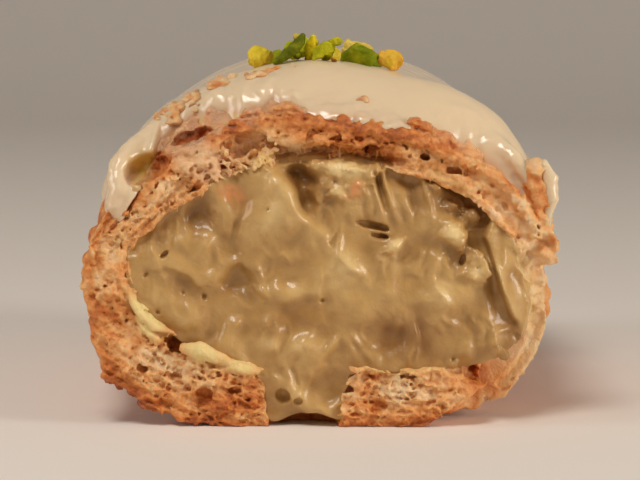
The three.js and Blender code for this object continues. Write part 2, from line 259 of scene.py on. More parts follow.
class Cells:
    """A block of small cells, closest together at the cut, in which a form is carved."""

    def __init__(self, low, high, cell, fine_to, coarsest):
        self.x = np.arange(low[0], high[0], cell, dtype=np.float32)
        self.z = np.arange(low[2], high[2], cell, dtype=np.float32)
        places = list(np.arange(low[1], fine_to, cell))
        step = cell
        while places[-1] < high[1]:
            step = min(step * 1.06, coarsest)
            places.append(places[-1] + step)
        self.y = np.array(places, np.float32)
        self.all_x = self.x[:, None, None]
        self.all_y = self.y[None, :, None]
        self.all_z = self.z[None, None, :]
        self.face_x, self.face_z = np.meshgrid(self.x, self.z, indexing="ij")

    def work_out(self, level):
        return level(self.all_x, self.all_y, self.all_z)

    def face(self, depth):
        """How far each cell lies in front of a face given by its depth behind the cutting plane."""
        return depth(self.face_x, self.face_z)[:, None, :] - self.all_y

    def roughen(self, field, height, reach):
        """Pushes a surface out by a relief, worked out only near it."""
        near = np.abs(field) < reach
        i, j, k = np.nonzero(near)
        field[near] -= height(self.x[i], self.y[j], self.z[k])

    def part(self, low, high):
        """The cells between two corners, and their places."""
        spans = []
        for places, first, last in zip((self.x, self.y, self.z), low, high):
            spans.append(slice(*np.searchsorted(places, (first, last))))
        sx, sy, sz = spans
        return (sx, sy, sz), (self.all_x[sx], self.all_y[:, sy], self.all_z[:, :, sz])

    def egg(self, centre, half, tilt=0.0, rough=0.0, seed=1):
        """A rounded lump: its cells, and how far each of them lies outside it, in mm."""
        reach = max(half) + 0.6
        part, (x, y, z) = self.part([c - reach for c in centre], [c + reach for c in centre])
        along, across = turned(x, z, (centre[0], centre[2]), tilt)
        far = np.sqrt((along / half[0]) ** 2 + ((y - centre[1]) / half[1]) ** 2 + (across / half[2]) ** 2)
        level = (far - 1.0) * min(half)
        if rough:
            level = level + rough * lumps(x, y, z, 0.9, seed) + 0.5 * rough * lumps(x, y, z, 0.45, seed + 1)
        return part, level

    def rope(self, points, radii, rough=0.0, seed=1):
        """A chain of round links: its cells, and how far each of them lies outside it, in mm."""
        reach = max(radii) + 0.6
        part, (x, y, z) = self.part(np.min(points, axis=0) - reach, np.max(points, axis=0) + reach)
        level = 1000.0
        for k in range(len(points) - 1):
            (ax, ay, az), (bx, by, bz) = points[k], points[k + 1]
            dx, dy, dz = bx - ax, by - ay, bz - az
            share = ((x - ax) * dx + (y - ay) * dy + (z - az) * dz) / (dx * dx + dy * dy + dz * dz)
            share = np.clip(share, 0.0, 1.0)
            apart = (x - ax - share * dx) ** 2 + (y - ay - share * dy) ** 2 + (z - az - share * dz) ** 2
            level = np.minimum(level, np.sqrt(apart) - radii[k] - share * (radii[k + 1] - radii[k]))
        if rough:
            level = level + rough * (lumps(x, y, z, 0.8, seed) + 0.7 * lumps(x, y, z, 0.4, seed + 1))
        return part, level

    def skin(self, field):
        """The surface where a field is 0: its points in mm, and its four-sided faces."""
        field[0], field[-1] = 1.0, 1.0
        field[:, 0], field[:, -1] = 1.0, 1.0
        field[:, :, 0], field[:, :, -1] = 1.0, 1.0
        grid = openvdb.FloatGrid(1.0)
        grid.copyFromArray(np.ascontiguousarray(np.clip(field, -1.0, 1.0), dtype=np.float32))
        points, _, quads = grid.convertToPolygons(isovalue=0.0, adaptivity=0.0)
        spots = []
        for axis, places in enumerate((self.x, self.y, self.z)):
            spots.append(np.interp(points[:, axis], np.arange(len(places)), places))
        return np.stack(spots, axis=1), quads


def dig(field, shape):
    """Takes a lump out with sharp edges."""
    part, level = shape
    field[part] = np.maximum(field[part], -level)


def melt(field, shape, blend=0.6):
    """Adds a lump that runs smoothly into what is there."""
    part, level = shape
    here = field[part]
    mix = np.clip(0.5 + 0.5 * (here - level) / blend, 0.0, 1.0)
    field[part] = here + (level - here) * mix - blend * mix * (1.0 - mix)


def scoop(field, shape, blend=0.5):
    """Takes a lump out with soft edges."""
    part, level = shape
    here = field[part]
    mix = np.clip(0.5 + 0.5 * (-level - here) / blend, 0.0, 1.0)
    field[part] = here + (-level - here) * mix + blend * mix * (1.0 - mix)


def relax(points, quads, rounds):
    """Evens out the surface by moving each point towards the middle of its neighbours."""
    pairs = np.concatenate([quads[:, [0, 1]], quads[:, [1, 2]], quads[:, [2, 3]], quads[:, [3, 0]]])
    for _ in range(rounds):
        total = np.zeros_like(points)
        count = np.zeros(len(points))
        for a, b in ((0, 1), (1, 0)):
            for axis in range(3):
                total[:, axis] += np.bincount(pairs[:, a], points[pairs[:, b], axis], len(points))
            count += np.bincount(pairs[:, a], minlength=len(points))
        points = 0.5 * points + 0.5 * total / count[:, None]
    return points


LOOSE_BIT_FACES = 2000


def without_loose_bits(points, quads):
    """Leaves out what is too small to hang together with the rest of a surface."""
    label = np.arange(len(points))
    while True:
        joined = label.copy()
        np.minimum.at(joined, quads.ravel(), np.repeat(label[quads].min(axis=1), 4))
        joined = joined[joined]
        if np.array_equal(joined, label):
            break
        label = joined
    size = np.bincount(label[quads[:, 0]], minlength=len(points))
    used, corners = np.unique(quads[size[label[quads[:, 0]]] > LOOSE_BIT_FACES], return_inverse=True)
    return points[used], corners.reshape(-1, 4)


def mesh_piece(name, points, quads):
    """A mesh object in the shared frame from points in mm, with few faces where it is smooth."""
    mesh = bpy.data.meshes.new(name + "_fine")
    mesh.vertices.add(len(points))
    mesh.vertices.foreach_set("co", points.astype(np.float32).ravel())
    mesh.loops.add(quads.size)
    mesh.loops.foreach_set("vertex_index", quads.astype(np.int32).ravel())
    mesh.polygons.add(len(quads))
    mesh.polygons.foreach_set("loop_start", np.arange(0, quads.size, 4, dtype=np.int32))
    mesh.update(calc_edges=True)
    piece = bpy.data.objects.new(name, mesh)
    bpy.context.scene.collection.objects.link(piece)
    thin = piece.modifiers.new("fewer_faces", "DECIMATE")
    thin.ratio = min(1.0, MOST_TRIANGLES / (2.0 * len(quads)))
    slim = bpy.data.meshes.new_from_object(piece.evaluated_get(bpy.context.evaluated_depsgraph_get()))
    slim.name = name
    piece.modifiers.clear()
    piece.data = slim
    bpy.data.meshes.remove(mesh)
    slim.transform(Matrix.Scale(MM, 4) @ Matrix.Translation((0.0, CUT_Y, 0.0)))
    slim.shade_smooth()
    return piece


def places_mm(piece):
    """A piece's points, back in mm behind the cut."""
    spots = np.zeros(len(piece.data.vertices) * 3, np.float32)
    piece.data.vertices.foreach_get("co", spots)
    return (spots.reshape(-1, 3) / MM - np.array([0.0, CUT_Y, 0.0])).T


def paint(piece, name, values):
    """Stores a number for each point of a piece, for its material."""
    layer = piece.data.attributes.new(name, "FLOAT", "POINT")
    layer.data.foreach_set("value", np.clip(values, 0.0, 1.0).astype(np.float32))


def patches(x, z, places):
    """Adds up oval patches on the cut face: middle, half sizes, tilt and share."""
    total = np.zeros_like(x)
    for middle, (across, up), tilt, share in places:
        along, over = turned(x, z, middle, tilt)
        total += share * rise(np.sqrt((along / across) ** 2 + (over / up) ** 2), 1.0)
    return total


CRUST_LUMPS = [
    # bulges of the crust beyond its smooth form: middle, half sizes, tilt
    # the knob at the upper right, and its tip
    ((21.7, 2.4, 26.0), (1.05, 1.2, 0.95), -10),
    ((21.9, 2.4, 24.3), (1.45, 1.4, 1.9), 8),
    ((22.2, 2.1, 22.4), (1.1, 1.4, 1.3), 10),
    ((22.4, 2.4, 20.8), (0.8, 1.2, 1.1), 0),
    ((22.9, 2.4, 18.4), (1.05, 1.6, 1.9), 0),
    ((23.2, 2.4, 16.0), (0.9, 1.0, 1.1), -30),
    ((23.8, 2.4, 14.9), (0.9, 0.7, 0.4), -35),
    # the lower right edge, behind the wall that broke off
    ((22.1, 6.2, 9.2), (2.4, 3.0, 0.9), 80),
    ((21.1, 6.2, 6.6), (2.0, 3.0, 0.9), 65),
    ((19.7, 6.2, 4.5), (1.7, 3.0, 0.9), 55),
    ((18.3, 6.2, 3.0), (1.4, 3.0, 0.9), 48),
    # the left side
    ((-22.3, 1.3, 14.7), (1.2, 1.9, 1.7), 0),
    ((-21.6, 1.4, 18.4), (1.0, 1.8, 1.3), 0),
    ((-20.4, 1.4, 6.0), (1.3, 1.8, 1.9), 0),
    ((-16.6, 1.3, 2.3), (1.2, 1.5, 0.8), -20),
    # grains along the crown
    ((-2.4, 1.6, 31.6), (1.6, 1.1, 0.8), -22),
    ((-6.6, 1.4, 31.2), (1.0, 1.0, 0.8), 20),
    ((-4.9, 0.6, 30.9), (0.7, 0.7, 0.6), 0),
    ((-8.2, 1.0, 30.2), (0.9, 0.8, 0.6), 30),
    ((10.0, 0.9, 30.0), (1.4, 0.9, 0.9), -20),
    ((12.4, 1.2, 28.9), (1.4, 1.0, 0.9), -32),
    ((15.2, 1.6, 27.6), (1.2, 1.0, 0.8), -38),
]
CRUST_EDGES = [
    # ridges that stand up from the torn wall: points, radii
    # the rim under the icing, from the crown to the right
    ([(-3.1, 0.3, 30.2), (0.4, 0.2, 30.4), (3.5, 0.3, 30.0), (5.3, 0.2, 29.9), (8.3, 0.2, 29.4)],
     [0.3, 0.5, 0.45, 0.5, 0.5]),
    ([(8.3, 0.2, 29.4), (10.6, 0.1, 28.6), (12.9, 0.0, 27.4), (15.5, 0.1, 26.5), (17.5, 0.2, 25.5)],
     [0.5, 0.45, 0.5, 0.45, 0.45]),
    ([(17.5, 0.2, 25.5), (19.6, 0.3, 23.6), (21.1, 0.5, 21.2), (22.0, 0.8, 19.0)], [0.45, 0.5, 0.5, 0.3]),
    # the inner edge at the upper right
    ([(10.9, 0.9, 25.7), (12.2, 0.7, 24.9), (14.4, 0.6, 24.5), (15.6, 0.4, 23.2), (17.2, 0.3, 22.0),
      (18.5, 0.3, 20.4), (19.2, 0.4, 19.4)], [0.25, 0.3, 0.3, 0.3, 0.3, 0.3, 0.2]),
    # webs at the upper left
    ([(-9.2, 1.6, 27.3), (-8.4, 1.3, 26.6), (-7.2, 1.5, 26.8), (-6.2, 1.2, 26.3)], [0.2, 0.16, 0.18, 0.22]),
    ([(-8.4, 1.3, 26.6), (-8.7, 1.5, 26.0)], [0.16, 0.18]),
    ([(-7.2, 1.5, 26.8), (-6.6, 1.7, 27.6), (-5.2, 1.2, 27.4), (-4.0, 0.9, 27.9)], [0.18, 0.16, 0.26, 0.26]),
]
CHOUX_SKINS = [
    # thin sheets that the wall tore into along the cream: points, radii
    # at the lower left
    ([(-19.0, 0.5, 14.2), (-18.3, 0.1, 12.6), (-17.4, 0.0, 11.2), (-16.2, 0.0, 10.2), (-14.3, 0.1, 9.6)],
     [0.15, 0.4, 0.5, 0.42, 0.15]),
    ([(-18.2, 0.4, 11.4), (-17.2, 0.2, 9.9), (-15.9, 0.2, 8.7)], [0.15, 0.32, 0.4]),
    ([(-13.2, 0.0, 8.1), (-11.6, -0.1, 7.8), (-10.2, 0.0, 7.2), (-8.4, 0.1, 6.5)], [0.55, 0.95, 0.7, 0.4]),
    ([(-9.4, 0.2, 5.9), (-7.8, 0.0, 6.0), (-6.0, 0.0, 5.7)], [0.3, 0.6, 0.35]),
    ([(-8.6, 0.3, 6.6), (-6.8, 0.1, 6.4), (-5.4, 0.2, 5.9)], [0.25, 0.3, 0.15]),
    # on top of the base, at the right
    ([(2.6, 0.3, 6.4), (4.0, 0.0, 5.8), (5.0, 0.2, 6.1), (6.8, 0.1, 5.6)], [0.12, 0.26, 0.2, 0.1]),
    ([(8.4, 0.2, 5.9), (10.0, -0.1, 5.5), (11.4, 0.1, 6.0), (12.6, 0.2, 5.7)], [0.1, 0.3, 0.22, 0.1]),
    ([(13.6, 0.4, 6.4), (14.8, 0.2, 5.9), (15.6, 0.6, 6.6)], [0.1, 0.3, 0.12]),
    ([(4.2, 0.0, 5.2), (6.0, -0.1, 4.9), (8.2, 0.0, 5.1)], [0.1, 0.2, 0.1]),
]
CRUMB_HOLLOWS = [
    # hollows of the torn wall: middle, half sizes, tilt
    # the upper left, under the icing
    ((-16.7, 1.2, 26.1), (2.4, 1.9, 1.5), 26),
    ((-12.4, 3.2, 28.9), (2.3, 1.8, 1.0), 12),
    ((-7.4, 1.0, 27.9), (2.9, 1.2, 1.7), 15),
    ((-8.9, 1.2, 26.2), (0.9, 1.2, 0.5), -20),
    ((-7.0, 1.2, 26.2), (0.7, 1.2, 0.4), 10),
    ((-4.0, 1.2, 27.8), (1.6, 1.4, 0.8), -15),
    ((-12.2, 0.4, 24.0), (0.6, 1.2, 0.35), 30),
    # the base
    ((-14.0, 1.2, 8.2), (1.6, 2.2, 1.0), -22),
    ((3.1, 0.8, 5.4), (0.8, 1.0, 0.6), 0),
    ((3.0, 0.8, 3.9), (1.0, 1.0, 0.6), -15),
    ((5.8, 0.6, 5.1), (1.2, 0.8, 0.35), 0),
    ((9.2, 0.5, 5.2), (1.1, 0.7, 0.25), 3),
    ((6.1, 0.4, 2.2), (0.9, 0.7, 0.6), 25),
    ((-11.4, 0.5, 3.2), (1.1, 0.9, 1.0), 30),
    ((-8.4, 0.4, 3.8), (0.8, 0.8, 0.5), 0),
    ((-14.4, 0.4, 5.2), (0.8, 0.8, 0.45), -10),
    ((-17.3, 0.4, 5.9), (0.6, 0.7, 0.4), -30),
    ((15.6, 2.8, 5.3), (1.0, 2.6, 0.9), 0),
    # the crown
    ((10.4, 1.0, 27.2), (1.4, 0.9, 0.4), -20),
    ((13.8, 0.8, 25.7), (1.2, 0.8, 0.4), -25),
    ((0.5, 1.4, 28.0), (1.6, 1.4, 0.45), 0),
    ((5.2, 1.4, 27.9), (1.2, 1.4, 0.45), 10),
]
CRUMB_CHANNELS = [
    # long hollows of the torn wall: points, radii
    ([(-17.8, 0.9, 25.2), (-18.6, 0.7, 23.2), (-19.2, 0.4, 21.2)], [1.1, 0.75, 0.3]),
    ([(-15.8, 0.3, 22.3), (-14.6, 0.4, 23.2), (-13.1, 0.4, 24.7)], [0.3, 0.42, 0.55]),
    ([(17.6, 1.4, 26.5), (19.0, 1.4, 25.1), (20.5, 1.4, 23.5), (21.5, 1.4, 21.8)], [0.4, 0.55, 0.6, 0.3]),
]

LEFT_NOTCH = ((-24.2, 1.4, 11.7), (1.7, 2.6, 1.2))
TORN_BACK = 8.0
CRUST_FROM = 6.6


def shell_form(cells):
    """The crust with its crags, standing on its foot, still without the hollow for the cream."""
    crust = cells.work_out(crust_level)
    cells.roughen(crust, crust_relief, 2.2)
    for number, (centre, half, tilt) in enumerate(CRUST_LUMPS):
        melt(crust, cells.egg(centre, half, tilt, rough=0.34, seed=300 + number), blend=0.8)
    scoop(crust, cells.egg(*LEFT_NOTCH), blend=0.6)
    return np.maximum(crust, -cells.all_z)


def hollow_relief(x, y, z):
    """Unevenness of the hollow near the cut, in mm."""
    return (0.3 * lumps(x, y, z, 2.6, 26) + 0.25 * lumps(x, y, z, 1.1, 38)) * (1.0 - ramp(y, 5.0, 6.5))


def hollow_form(cells):
    """The hollow for the cream with the filling hole, uneven near the cut."""
    leaning = lean_in(cells.face_x, cells.face_z)[:, None, :] * (1.0 - ramp(cells.all_y, 1.0, 3.5))
    hollow = np.minimum(cells.work_out(cavity_level) + leaning, cells.work_out(funnel_level))
    lobe = np.maximum(lobe_level(cells.face_x, cells.face_z)[:, None, :], cells.all_y - LOBE["back"])
    hollow = np.minimum(hollow, lobe)
    cells.roughen(hollow, hollow_relief, 1.5)
    return hollow


def crumb_relief(x, y, z):
    """Fibres and grain of the torn wall, in mm."""
    along, out = round_wall(x, z)
    coarse = 1.0 - 0.7 * even_side(wall_angle(x, z))
    fibre = coarse * (0.24 * lumps(0.45 * along, y, 1.5 * out, 0.8, 27) + 0.2 * lumps(x, y, z, 0.5, 28))
    return fibre + 0.3 * (1.0 - coarse) * lumps(x, y, z, 0.8, 39)


def pores(field, cells, count):
    """Opens small holes all over the torn wall, fewer on its right side."""
    rng = np.random.default_rng(31)
    spots_x = rng.uniform(-23.0, 23.0, 12 * count)
    spots_z = rng.uniform(0.0, 33.0, 12 * count)
    level = np.zeros_like(spots_x)
    angles = wall_angle(spots_x, spots_z)
    clusters = 0.15 + 0.85 * ramp(lumps(spots_x, level, spots_z, 2.2, 37), -0.2, 0.5)
    clusters *= (1.0 - 0.65 * even_side(angles)) * (1.0 - 0.85 * ramp(-spots_x, 13.0, 16.5))
    clusters *= 1.0 - 0.6 * (spots_z < 7.0)
    keep = clusters > rng.random(12 * count)
    keep &= (opening_level(spots_x, spots_z) > 0.2) & (crust_level(spots_x, level, spots_z) < -0.8)
    spots_x, spots_z, angles = spots_x[keep][:count], spots_z[keep][:count], angles[keep][:count]
    depths = torn_depth(spots_x, spots_z)
    for x, z, angle, depth in zip(spots_x, spots_z, angles, depths):
        size = 0.1 + 0.22 * rng.random() ** 2.5
        half = (size * rng.uniform(1.0, 2.4), size * 1.2, size)
        dig(field, cells.egg((x, depth + rng.uniform(-0.2, 0.2), z), half, angle + 90.0 + rng.normal(0, 25)))


def strands(field, cells, count):
    """Threads of torn crumb that lie over the wall in all directions."""
    rng = np.random.default_rng(32)
    made = 0
    while made < count:
        x, z = rng.uniform(-22.0, 20.0), rng.uniform(0.8, 30.0)
        from_cream = min(at_place(opening_level, x, z), at_place(funnel_level, x, FILLING_HOLE["y"], z))
        if from_cream < 0.4 or at_place(crust_level, x, 0.0, z) > -0.6:
            continue
        in_base = 0.4 * float(x > 1.0 and z < 8.0)
        if rng.random() < 0.8 * max(float(even_side(at_place(wall_angle, x, z))), in_base):
            continue
        way, reach = rng.uniform(0.0, math.pi), rng.uniform(0.3, 1.0)
        points = []
        for step in (-1.0, 0.0, 1.0):
            px = x + step * reach * math.cos(way) + rng.normal(0.0, 0.15)
            pz = z + step * reach * math.sin(way) + rng.normal(0.0, 0.15)
            points.append((px, at_place(torn_depth, px, pz) + rng.uniform(-0.25, 0.1), pz))
        size = rng.uniform(0.07, 0.15)
        melt(field, cells.rope(points, [0.7 * size, size, 0.7 * size]), blend=0.2)
        made += 1


def granules(field, cells, count):
    """Beads of crust on the cut's upper edge, which broke into grains."""
    rng = np.random.default_rng(33)
    for _ in range(count):
        turn = math.radians(rng.choice((rng.uniform(36.0, 150.0), rng.uniform(168.0, 215.0)), p=(0.75, 0.25)))
        back = rng.uniform(-1.0, 1.0)
        sunk = rng.uniform(0.0, 0.14) if back < 0.2 else 0.0
        x = HALF_WIDTH * math.cos(turn) * (1.0 - sunk)
        drop = KNIFE_DROP * math.exp(-((max(back, 0.0) / KNIFE_REACH) ** 2))
        height = CROWN - WAIST - drop if turn < math.pi else WAIST
        z = WAIST + height * math.sin(turn) * (1.0 - sunk)
        bare = max(at_place(icing_start, x), 2.0)
        y = back * bare if back > 0.2 else at_place(torn_depth, x, z)
        size = 0.2 + 0.32 * rng.random() ** 2
        half = (size * rng.uniform(1.0, 1.5), size, size)
        melt(field, cells.egg((x, y, z), half, rng.uniform(-60, 60), rough=0.12, seed=34), blend=0.22)


def torn_wall_piece():
    """The shell near the cut, with its torn face."""
    low, high = (-26.5, -1.6, -0.6), (26.6, TORN_BACK + 0.4, 36.0)
    cells = Cells(low, high, cell=0.145, fine_to=4.0, coarsest=0.3)
    face = cells.face(torn_depth)
    cells.roughen(face, crumb_relief, 1.5)
    wall = np.maximum(np.maximum(shell_form(cells), -hollow_form(cells)), face)
    wall = np.maximum(wall, cells.all_y - TORN_BACK)
    # the foot chipped off at the right
    ragged = 0.6 * lumps(cells.face_x, 0.0 * cells.face_x, cells.face_z, 1.2, 29)
    foot = 0.62 * (cells.face_x + ragged - 10.6) + 4.0 * np.maximum(0.0, cells.face_x + ragged - 16.0)
    chip_back = 4.4 + 1.8 * ramp(cells.face_x, 13.0, 16.0)
    chipped = np.maximum(cells.all_z - np.minimum(foot, 9.0)[:, None, :], cells.all_y - chip_back[:, None, :])
    wall = np.maximum(wall, -chipped)
    granules(wall, cells, count=620)
    pores(wall, cells, count=800)
    strands(wall, cells, count=560)
    for number, (centre, half, tilt) in enumerate(CRUMB_HOLLOWS):
        dig(wall, cells.egg(centre, half, tilt, rough=0.35, seed=320 + number))
    for number, (points, radii) in enumerate(CRUMB_CHANNELS):
        dig(wall, cells.rope(points, radii, rough=0.2, seed=350 + number))
    for number, (points, radii) in enumerate(CRUST_EDGES):
        melt(wall, cells.rope(points, radii, rough=0.3, seed=360 + number), blend=0.5)
    for number, (points, radii) in enumerate(CHOUX_SKINS):
        melt(wall, cells.rope(points, radii, rough=0.1, seed=380 + 2 * number), blend=0.12)
    return mesh_piece("torn_wall", *without_loose_bits(*cells.skin(wall)))


def crust_piece():
    """The shell behind the torn wall, which it runs a little inside where the two overlap."""
    low, high = (-26.5, CRUST_FROM - 0.6, -0.6), (26.6, 64.0, 37.0)
    cells = Cells(low, high, cell=0.27, fine_to=CRUST_FROM, coarsest=0.34)
    crust = np.maximum(shell_form(cells), -hollow_form(cells))
    sunk = 0.05 * (1.0 - ramp(cells.all_y, TORN_BACK, TORN_BACK + 1.0))
    crust = np.maximum(crust + sunk, CRUST_FROM - cells.all_y)
    return mesh_piece("baked_crust", *without_loose_bits(*cells.skin(crust)))


PALE_SKIN = [
    # pale places of the torn wall: middle, half sizes, tilt, share
    ((-11.4, 7.7), (3.0, 1.8), -22, 1.3),
    ((-7.6, 6.2), (3.4, 1.3), -12, 1.0),
    ((-17.0, 11.4), (4.2, 1.3), -48, 1.4),
    ((-17.0, 9.8), (2.4, 0.8), -48, 1.0),
    ((9.0, 5.9), (7.0, 0.9), 0, 0.4),
    ((19.6, 15.5), (2.2, 5.0), 5, 0.45),
    ((12.6, 25.1), (3.4, 0.9), -25, 0.5),
    ((-5.5, 26.8), (2.2, 1.2), 20, 0.6),
    ((-18.0, 25.6), (2.2, 2.6), 10, 1.2),
    # the right wall, paler: partly its own paler crumb, partly painted light for the light that falls on that
    # side
    ((21.6, 12.0), (2.4, 7.0), 12, 0.5),
]
BAKE_MARKS = [
    # darker (above 0) and paler (below 0) places of the torn wall: middle, half sizes, tilt, share
    ((-6.2, 3.0), (1.8, 2.8), 0, 0.35),
    ((-11.5, 3.2), (1.6, 1.4), 0, 0.35),
    ((-9.6, 2.2), (5.0, 1.8), 0, 0.42),
    ((-18.4, 3.2), (3.4, 2.0), -30, 0.45),
    ((-15.6, 6.6), (3.4, 2.2), -20, -0.25),
    ((8.0, 3.6), (6.0, 2.4), 10, -0.2),
    ((6.1, 2.2), (1.3, 0.9), 20, 0.5),
    ((16.4, 4.6), (2.0, 1.8), 35, 0.5),
    ((-20.2, 10.5), (3.0, 7.0), 0, 0.16),
    # the right wall, paler: partly its own paler crumb, partly painted light for the light that falls on that
    # side
    ((21.4, 11.0), (4.0, 9.0), 12, -0.75),
    ((18.6, 21.0), (3.2, 6.0), 30, -0.15),
    ((4.0, 29.0), (11.0, 2.8), -6, 0.28),
    ((-8.2, 27.8), (3.2, 1.9), 20, -0.2),
    ((-12.4, 29.0), (2.2, 1.0), 12, 0.5),
    ((-16.0, 26.0), (2.8, 2.0), 30, 0.3),
    ((-18.9, 22.5), (1.0, 2.6), -12, 0.25),
    ((19.4, 24.4), (2.6, 0.9), -45, 0.35),
    ((22.0, 24.2), (1.8, 4.0), 0, 0.2),
    ((18.0, 6.5), (3.0, 3.0), 30, -0.25),
]
GLAZED = [
    # where icing soaked into the wall: middle, half sizes, tilt, share
    ((-10.8, 26.4), (5.0, 2.8), -25, 0.8),
    ((-13.6, 28.4), (4.4, 1.5), 10, 0.8),
    ((-16.8, 29.0), (3.2, 1.4), 45, 0.7),
    ((19.8, 26.6), (1.6, 1.6), -45, 0.6),
]


def colour_choux(piece):
    """Browns a piece of the shell: dark on the crust and under the top, pale on skins and torn edges. It also
    paints shade into the hollows behind the torn face, the groove under the top among them, and paints the
    right side paler, partly for the light that falls on it.
    """
    x, y, z = places_mm(piece)
    crusty = 1.0 - ramp(crust_relief(x, y, z) - crust_level(x, y, z), 0.1, 1.6)
    front = 1.0 - ramp(y, 6.0, 9.0)
    along, out = round_wall(x, z)
    right_side = ramp(x, 10.0, 20.0) * (1.0 - ramp(y, 9.0, 20.0))
    blotches = lumps(x, y, z, 3.4, 41)
    streaks = lumps(0.6 * along, y, 1.6 * out, 0.9, 42)
    left_side = ramp(-x, 15.0, 20.0) * (1.0 - ramp(y, 3.0, 6.0)) * ramp(z, 6.0, 9.0)
    blotches = blotches + 0.6 * lumps(x, y, z, 9.0, 43)
    # right_side makes the crust paler at the right near the cut: partly its own paler colour, partly painted
    # light for the light that falls on that side
    bake = 0.28 + 0.22 * blotches + 0.16 * streaks + (0.34 - 0.45 * right_side - 0.14 * left_side) * crusty
    paint(piece, "bake", bake + front * patches(x, z, BAKE_MARKS) + 0.2 * (1.0 - ramp(z, 0.3, 1.6)))
    # painted shade: darker where the surface lies 0.3 to 2.2 mm behind the torn face, in its pores, hollows
    # and undercuts, and less at the lit hollow at the upper left
    behind = y - torn_depth(x, z)
    lit = 1.0 - 0.9 * rise(np.hypot((x + 7.2) / 4.4, (z - 27.2) / 3.0), 1.0)
    paint(piece, "painted_shade", 0.55 * lit * ramp(behind, 0.3, 2.2) * (1.0 - crusty) * (1.0 - ramp(y, 8.0, 11.0)))
    skins = np.clip(patches(x, z, PALE_SKIN) * front * (1.0 - 0.5 * crusty), 0.0, 1.0)
    paint(piece, "pale", skins)
    paint(piece, "crust", crusty * (1.0 - 0.7 * right_side * (1.0 - ramp(z, 16.0, 20.0))))
    lacy = (1.0 - 0.6 * crusty) * (1.0 - ramp(y, 4.0, 7.0)) * (1.0 - 0.6 * right_side) * (1.0 - skins)
    paint(piece, "crumb", lacy * (1.0 - 0.8 * glazed_wall(x, z)))
    bare_top = (0.75 + 0.6 * blotches) * ramp(z, 25.0, 28.0) * ramp(y + 0.5 * streaks, 0.5, 1.2)
    bare_top *= ramp(crust_level(x, y, z) - crust_relief(x, y, z), -0.9, -0.3) * (1.0 - ramp(y, 8.0, 9.0))
    glaze = (patches(x, z, GLAZED) + glazed_wall(x, z)) * ramp(1.6 - y + 0.5 * blotches, 0.0, 1.0)
    in_teardrop = ramp(rise(np.hypot((x + 16.8) / 3.8, (z - 25.8) / 2.8), 1.0), 0.1, 0.5) * ramp(y, 0.1, 0.6)
    paint(piece, "glaze", np.maximum(glaze, bare_top) * (1.0 - in_teardrop))


def new_material(name):
    """A node material: itself, its nodes, its links and its shader."""
    material = bpy.data.materials.new(name)
    material.use_nodes = True
    nodes = material.node_tree.nodes
    return material, nodes, material.node_tree.links, nodes["Principled BSDF"]


def set_sockets(node, values):
    for name, value in values.items():
        node.inputs[name].default_value = value


def from_srgb(red, green, blue):
    """A picture colour, 0 to 255, as the light that a surface gives back."""
    channels = []
    for value in (red / 255.0, green / 255.0, blue / 255.0):
        channels.append(value / 12.92 if value <= 0.04045 else ((value + 0.055) / 1.055) ** 2.4)
    return (*channels, 1.0)


def colour_steps(nodes, steps):
    """A ramp node through colours at given shares."""
    node = nodes.new("ShaderNodeValToRGB")
    bands = node.color_ramp.elements
    while len(bands) < len(steps):
        bands.new(0.5)
    for band, (share, colour) in zip(bands, steps):
        band.position = share
        band.color = from_srgb(*colour)
    return node


def read_paint(nodes, name):
    node = nodes.new("ShaderNodeAttribute")
    node.attribute_name = name
    return node.outputs["Fac"]


def mixed(nodes, links, share, first, second, blend="MIX"):
    """One colour laid over another by a share, each a socket or a colour."""
    node = nodes.new("ShaderNodeMix")
    node.data_type = "RGBA"
    node.blend_type = blend
    for socket, value in ((node.inputs[0], share), (node.inputs[6], first), (node.inputs[7], second)):
        if isinstance(value, bpy.types.NodeSocket):
            links.new(value, socket)
        else:
            socket.default_value = value
    return node.outputs[2]


def scaled(nodes, links, value, factor, offset):
    """A share times a factor plus an offset."""
    node = nodes.new("ShaderNodeMath")
    node.operation = "MULTIPLY_ADD"
    node.inputs[1].default_value = factor
    links.new(value, node.inputs[0])
    if isinstance(offset, bpy.types.NodeSocket):
        links.new(offset, node.inputs[2])
    else:
        node.inputs[2].default_value = offset
    return node.outputs[0]


def own_place(nodes):
    """The object's own coordinates."""
    return nodes.new("ShaderNodeTexCoord").outputs["Object"]


def noise_node(nodes, links, scale, detail=4.0, roughness=0.6):
    """Fine random grain placed by the object's own coordinates; scale is in cycles a metre."""
    node = nodes.new("ShaderNodeTexNoise")
    set_sockets(node, {"Scale": scale, "Detail": detail, "Roughness": roughness})
    links.new(own_place(nodes), node.inputs["Vector"])
    return node.outputs["Fac"]


def add_bump(nodes, links, heights, surface):
    """Chains bumps, each a height socket, a strength and a distance in mm."""
    before = None
    for height, strength, distance in heights:
        node = nodes.new("ShaderNodeBump")
        set_sockets(node, {"Strength": strength, "Distance": distance * MM})
        links.new(height, node.inputs["Height"])
        if before:
            links.new(before, node.inputs["Normal"])
        before = node.outputs["Normal"]
    links.new(before, surface.inputs["Normal"])


def fading(nodes, links, distance, near, far):
    """1 within a near distance, and 0 past a far one."""
    node = nodes.new("ShaderNodeMapRange")
    set_sockets(node, {"From Min": near, "From Max": far, "To Min": 1.0, "To Max": 0.0})
    links.new(distance, node.inputs["Value"])
    return node.outputs[0]


